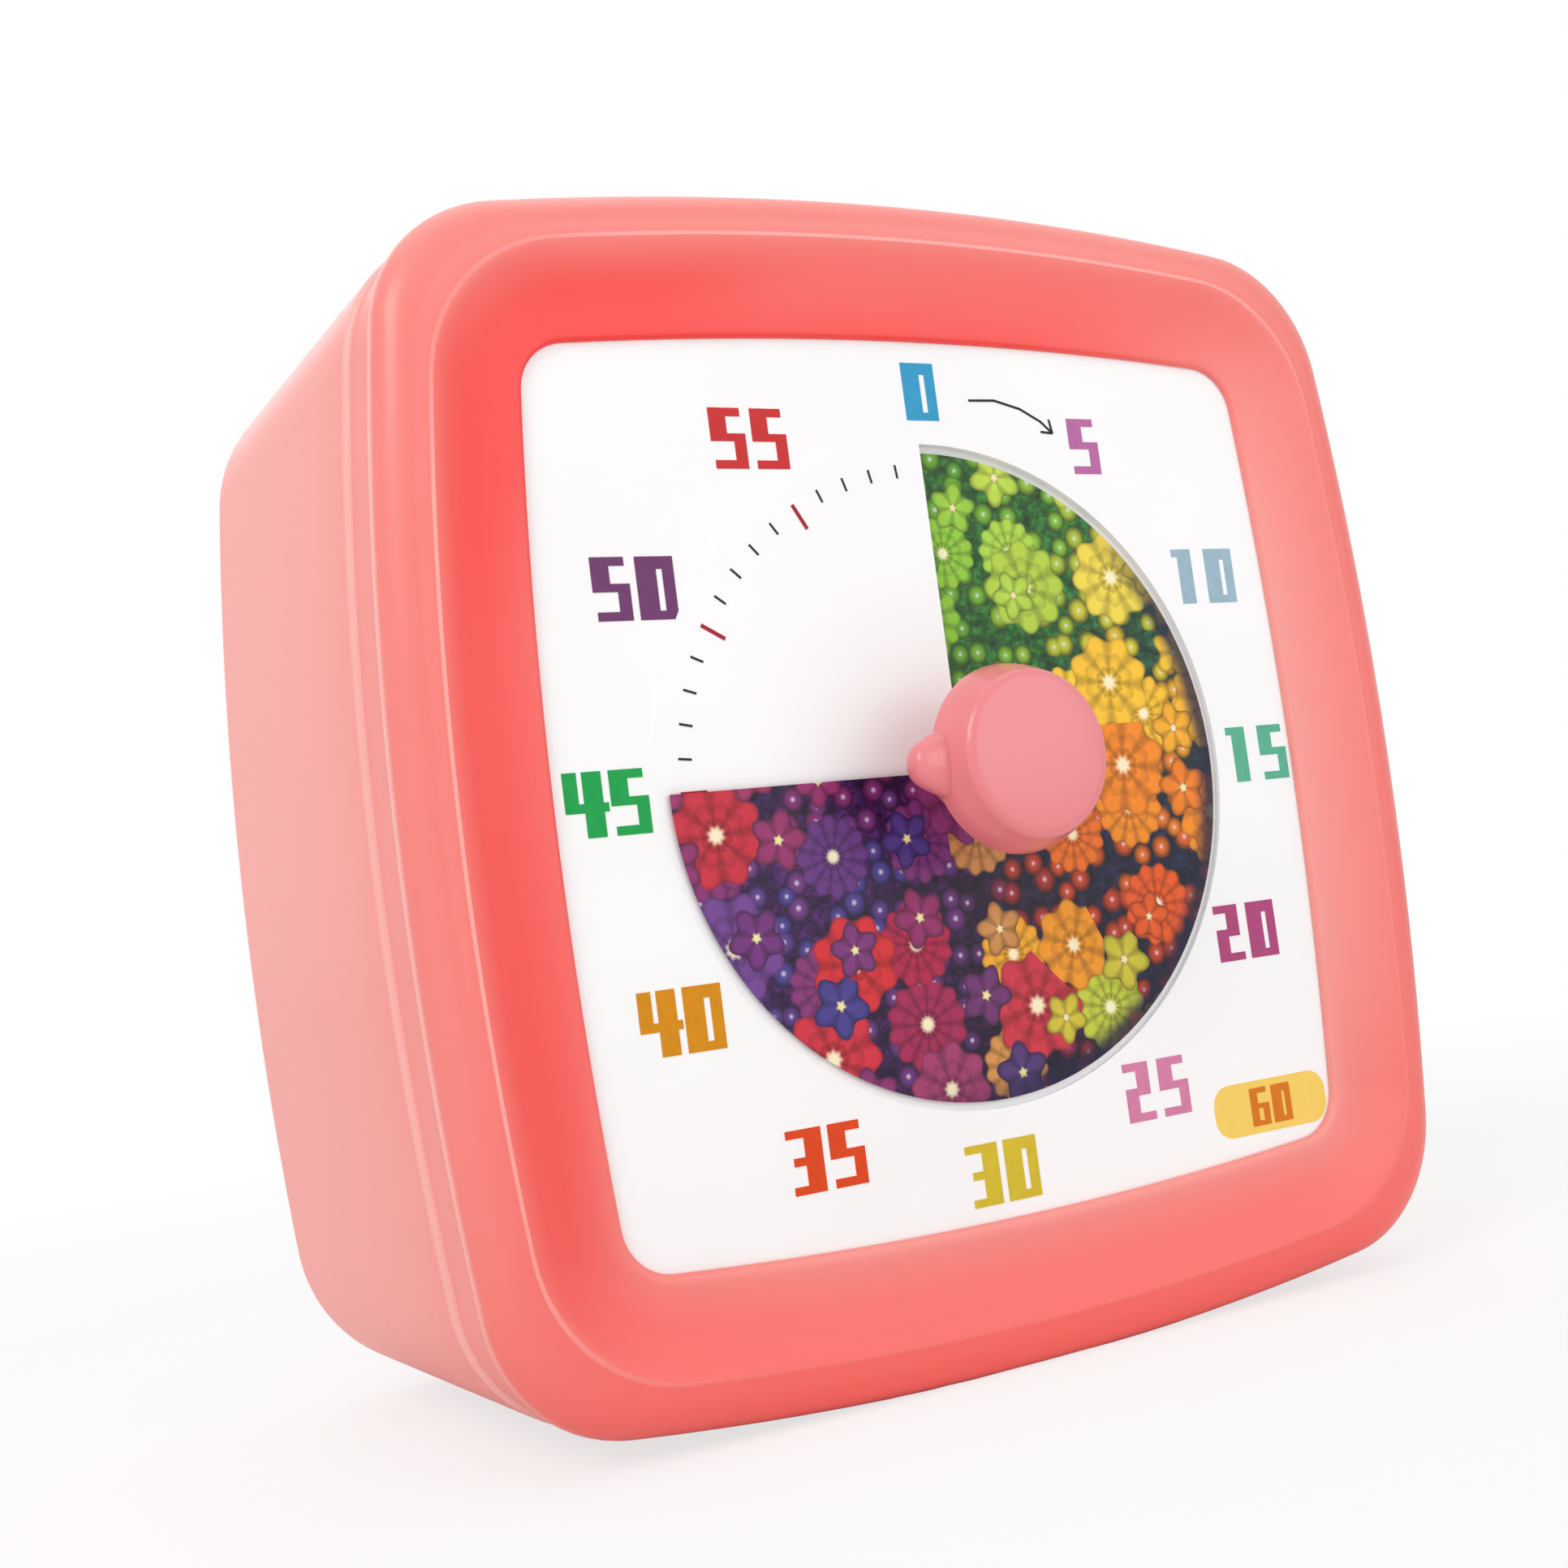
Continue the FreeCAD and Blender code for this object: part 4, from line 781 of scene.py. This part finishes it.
# from the lowest layer up: distance between motifs, their size, petals, depth of the petals' wave,
# share of the motifs kept, shift of the layer, hues, tones, wander of the hue, heart
MOTIFS = (
    (2.0, 0.98, 1.0, 0.0, 0.85, (3.1, 1.7), BEADS, BEAD_TONES, 0.05, None),
    (7.6, 3.30, 12.0, 0.05, 0.85, (31.7, 22.1), BLOOMS, ROSE_TONES, 0.03, "fff7cf"),
    (8.6, 4.05, 8.0, 0.08, 0.85, (14.3, 5.6), ROSES, ROSE_TONES, 0.04, "fff7cf"),
    (6.3, 2.35, 5.0, 0.16, 0.50, (0.9, 6.4), BLOOMS, BLOOM_TONES, 0.06, "fff0b0"))


def share_of_turn(tree, x, z):
    """0 to 1 clockwise from 12 o'clock."""
    turn = maths(tree, "ARCTAN2", x, z)
    return maths(tree, "FRACT", maths(tree, "MULTIPLY_ADD", turn, 1.0/(2*math.pi), 1.0))


def scatter(tree, flat, every, size, petals, wave, kept, shift, hues, tones, wander):
    """Motifs strewn a distance apart: their cover, colour, furrows and the reach from each middle."""
    moved = vector_maths(tree, "ADD", flat, (*shift, 0.0))
    cells = tree.nodes.new("ShaderNodeTexVoronoi")
    cells.voronoi_dimensions = "2D"
    cells.inputs["Scale"].default_value = 1.0/every
    cells.inputs["Randomness"].default_value = 0.62
    tree.links.new(moved, cells.inputs["Vector"])
    luck = tree.nodes.new("ShaderNodeSeparateColor")
    tree.links.new(cells.outputs["Color"], luck.inputs["Color"])
    centre = cells.outputs["Position"]
    px, pz, _ = split_xyz(tree, vector_maths(tree, "SUBTRACT", centre, (*shift, 0.0)))
    away = vector_maths(tree, "SUBTRACT", moved, centre)
    dx, dz, _ = split_xyz(tree, away)
    turn = maths(tree, "MULTIPLY_ADD", maths(tree, "ARCTAN2", dz, dx), petals,
                 maths(tree, "MULTIPLY", luck.outputs["Red"], 6.28))
    lobes = maths(tree, "COSINE", turn)
    edge = maths(tree, "MULTIPLY", maths(tree, "MULTIPLY_ADD", lobes, wave, 1.0-wave),
                 maths(tree, "MULTIPLY_ADD", luck.outputs["Green"], 0.22*size, 0.84*size))
    reach = maths(tree, "DIVIDE", vector_maths(tree, "LENGTH", away), edge)
    cover = maths(tree, "MULTIPLY", spread(tree, reach, 1.0, 0.0, 0.95, 1.0),
                  maths(tree, "LESS_THAN", luck.outputs["Blue"], kept))
    where = maths(tree, "FRACT", maths(tree, "MULTIPLY_ADD", luck.outputs["Green"], wander,
                                       share_of_turn(tree, px, pz)))
    body = blended(tree, 1.0, ramp(tree, where, hues), ramp(tree, reach, tones), "MULTIPLY")
    furrow = spread(tree, lobes, 0.62, 1.0, -1.0, 0.2)
    return cover, body, furrow, reach


def disc_print():
    """Rosettes, blossoms and beads that go from green through yellow and red to violet round the turn."""
    m, tree, shader, place = material("disc_print")
    x, _, z = from_dial(tree, place)
    join = tree.nodes.new("ShaderNodeCombineXYZ")
    tree.links.new(x, join.inputs["X"])
    tree.links.new(z, join.inputs["Y"])
    flat = join.outputs["Vector"]
    turn = share_of_turn(tree, x, z)
    leaf = ramp(tree, noise(tree, flat, 0.9, 5.0, 0.7), [(0.35, 0.15), (0.5, 0.6), (0.62, 1.6)])
    colour = blended(tree, 1.0, ramp(tree, turn, GROUND), leaf, "MULTIPLY")
    for *motif, heart in MOTIFS:
        cover, body, furrow, reach = scatter(tree, flat, *motif)
        if heart:
            body = blended(tree, 1.0, body, furrow, "MULTIPLY")
            body = blended(tree, spread(tree, reach, 0.9, 0.0, 0.10, 0.20), body, srgb(heart))
        else:
            body = blended(tree, spread(tree, reach, 0.7, 0.0, 0.0, 0.26), body, srgb("f2e9f7"))
        colour = blended(tree, cover, colour, body)
    # the colour darkens towards the rim from about the 8th to the 30th minute
    outward = spread(tree, vector_maths(tree, "LENGTH", flat), 0.0, 0.92, 21.6, 23.2, "SMOOTHSTEP")
    stretch = maths(tree, "MULTIPLY", spread(tree, turn, 0.0, 1.0, 0.10, 0.18, "SMOOTHSTEP"),
                    spread(tree, turn, 1.0, 0.0, 0.44, 0.56, "SMOOTHSTEP"))
    rim = maths(tree, "MULTIPLY", outward, stretch)
    colour = blended(tree, rim, colour, srgb("161634"))
    tree.links.new(colour, shader.inputs["Base Color"])
    fine = noise(tree, place, 900.0, 2.0)
    tree.links.new(spread(tree, fine, 0.3, 0.4), shader.inputs["Roughness"])
    shader.inputs["Specular IOR Level"].default_value = 0.25
    return m


def dress_nodes():
    """Give each of the timer's own pieces its finish."""
    finishes = {
        "case_body": case_coral, "battery_door": case_coral, "front_bezel": case_coral,
        "dial_plate": dial_white, "printed_disc": disc_print(),
        "knob": knob_pink, "disc_hub": knob_pink, "knob_shaft": steel,
        "arbor_wheel": ivory, "clutch_spring": steel, "middle_wheel": clear, "rotor": magnet,
        "movement_front": black, "movement_back": black, "stator": iron, "coil": copper,
        "battery": cell_wrap, "contact_plus": nickel, "contact_minus": nickel,
        "circuit_board": board_green, "chip": black, "crystal": steel, "sound_disc": brass,
        "switch_body": black, "volume_slider": black,
    }
    for kind in ("movement_screw_", "case_screw_"):
        for i in (1, 2, 3, 4):
            finishes[kind+str(i)] = steel
    for name, m in finishes.items():
        paint(nodes[name], m)


# Studio
SKY = 0.60
FLOOR_GLOW = 0.72
AIM = (0, 0, 0.04)
# name, place and width in metres, watts
LAMPS = (("key", (-0.55, -0.30, 0.50), 0.35, 1.85),
         ("front_fill", (0.35, -0.7, 0.20), 0.6, 1.45),
         ("top", (0.0, 0.1, 0.7), 0.6, 0.7),
         ("rear_fill", (0.25, 0.75, 0.30), 0.6, 1.3))


def softbox(name, place, size, watts):
    """Square lamp that faces the timer."""
    light = bpy.data.objects.new(name, bpy.data.lights.new(name, "AREA"))
    bpy.context.scene.collection.objects.link(light)
    light.data.shape = "SQUARE"
    light.data.size = size
    light.data.energy = watts
    light.location = place
    light.rotation_euler = (Vector(AIM)-Vector(place)).to_track_quat("-Z", "Y").to_euler()


def white_world():
    """Soft even sky that the camera, gloss and glass see as white."""
    world = bpy.data.worlds.new("studio")
    bpy.context.scene.world = world
    world.use_nodes = True
    tree = world.node_tree
    back = tree.nodes["Background"]
    back.inputs["Color"].default_value = (1, 1, 1, 1)
    way = tree.nodes.new("ShaderNodeLightPath")
    seen = maths(tree, "MAXIMUM", way.outputs["Is Camera Ray"], way.outputs["Is Transmission Ray"])
    seen = maths(tree, "MAXIMUM", seen, way.outputs["Is Glossy Ray"])
    tree.links.new(spread(tree, seen, SKY, 1.0), back.inputs["Strength"])


def paper_floor():
    """Pale paper that keeps the timer's shadow and runs out to plain white around it."""
    nothing_selected()
    bpy.ops.mesh.primitive_plane_add(size=4.0, location=(0, 0, 0))
    floor = named("floor")
    m, tree, shader, place = material("floor_paper")
    paper = ramp(tree, noise(tree, place, 3.0), [(0.4, 0.90), (0.6, 0.92)])
    tree.links.new(paper, shader.inputs["Base Color"])
    shader.inputs["Roughness"].default_value = 0.9
    shader.inputs["Specular IOR Level"].default_value = 0.0
    glow = tree.nodes.new("ShaderNodeEmission")
    mix = tree.nodes.new("ShaderNodeMixShader")
    way = tree.nodes.new("ShaderNodeLightPath")
    far = spread(tree, vector_maths(tree, "LENGTH", place), FLOOR_GLOW, 1.0, 0.08, 0.30, "SMOOTHSTEP")
    tree.links.new(maths(tree, "MULTIPLY", way.outputs["Is Camera Ray"], far), mix.inputs[0])
    tree.links.new(shader.outputs[0], mix.inputs[1])
    tree.links.new(glow.outputs[0], mix.inputs[2])
    tree.links.new(mix.outputs[0], tree.nodes["Material Output"].inputs["Surface"])
    paint(floor, m)


def studio():
    white_world()
    for lamp in LAMPS:
        softbox(*lamp)
    paper_floor()
    bpy.context.scene.view_settings.view_transform = "Standard"


photo_camera()
studio()
dress_nodes()
make_front_frame()
make_knob()
make_numbers()
make_marks()
make_arrow()
make_label()
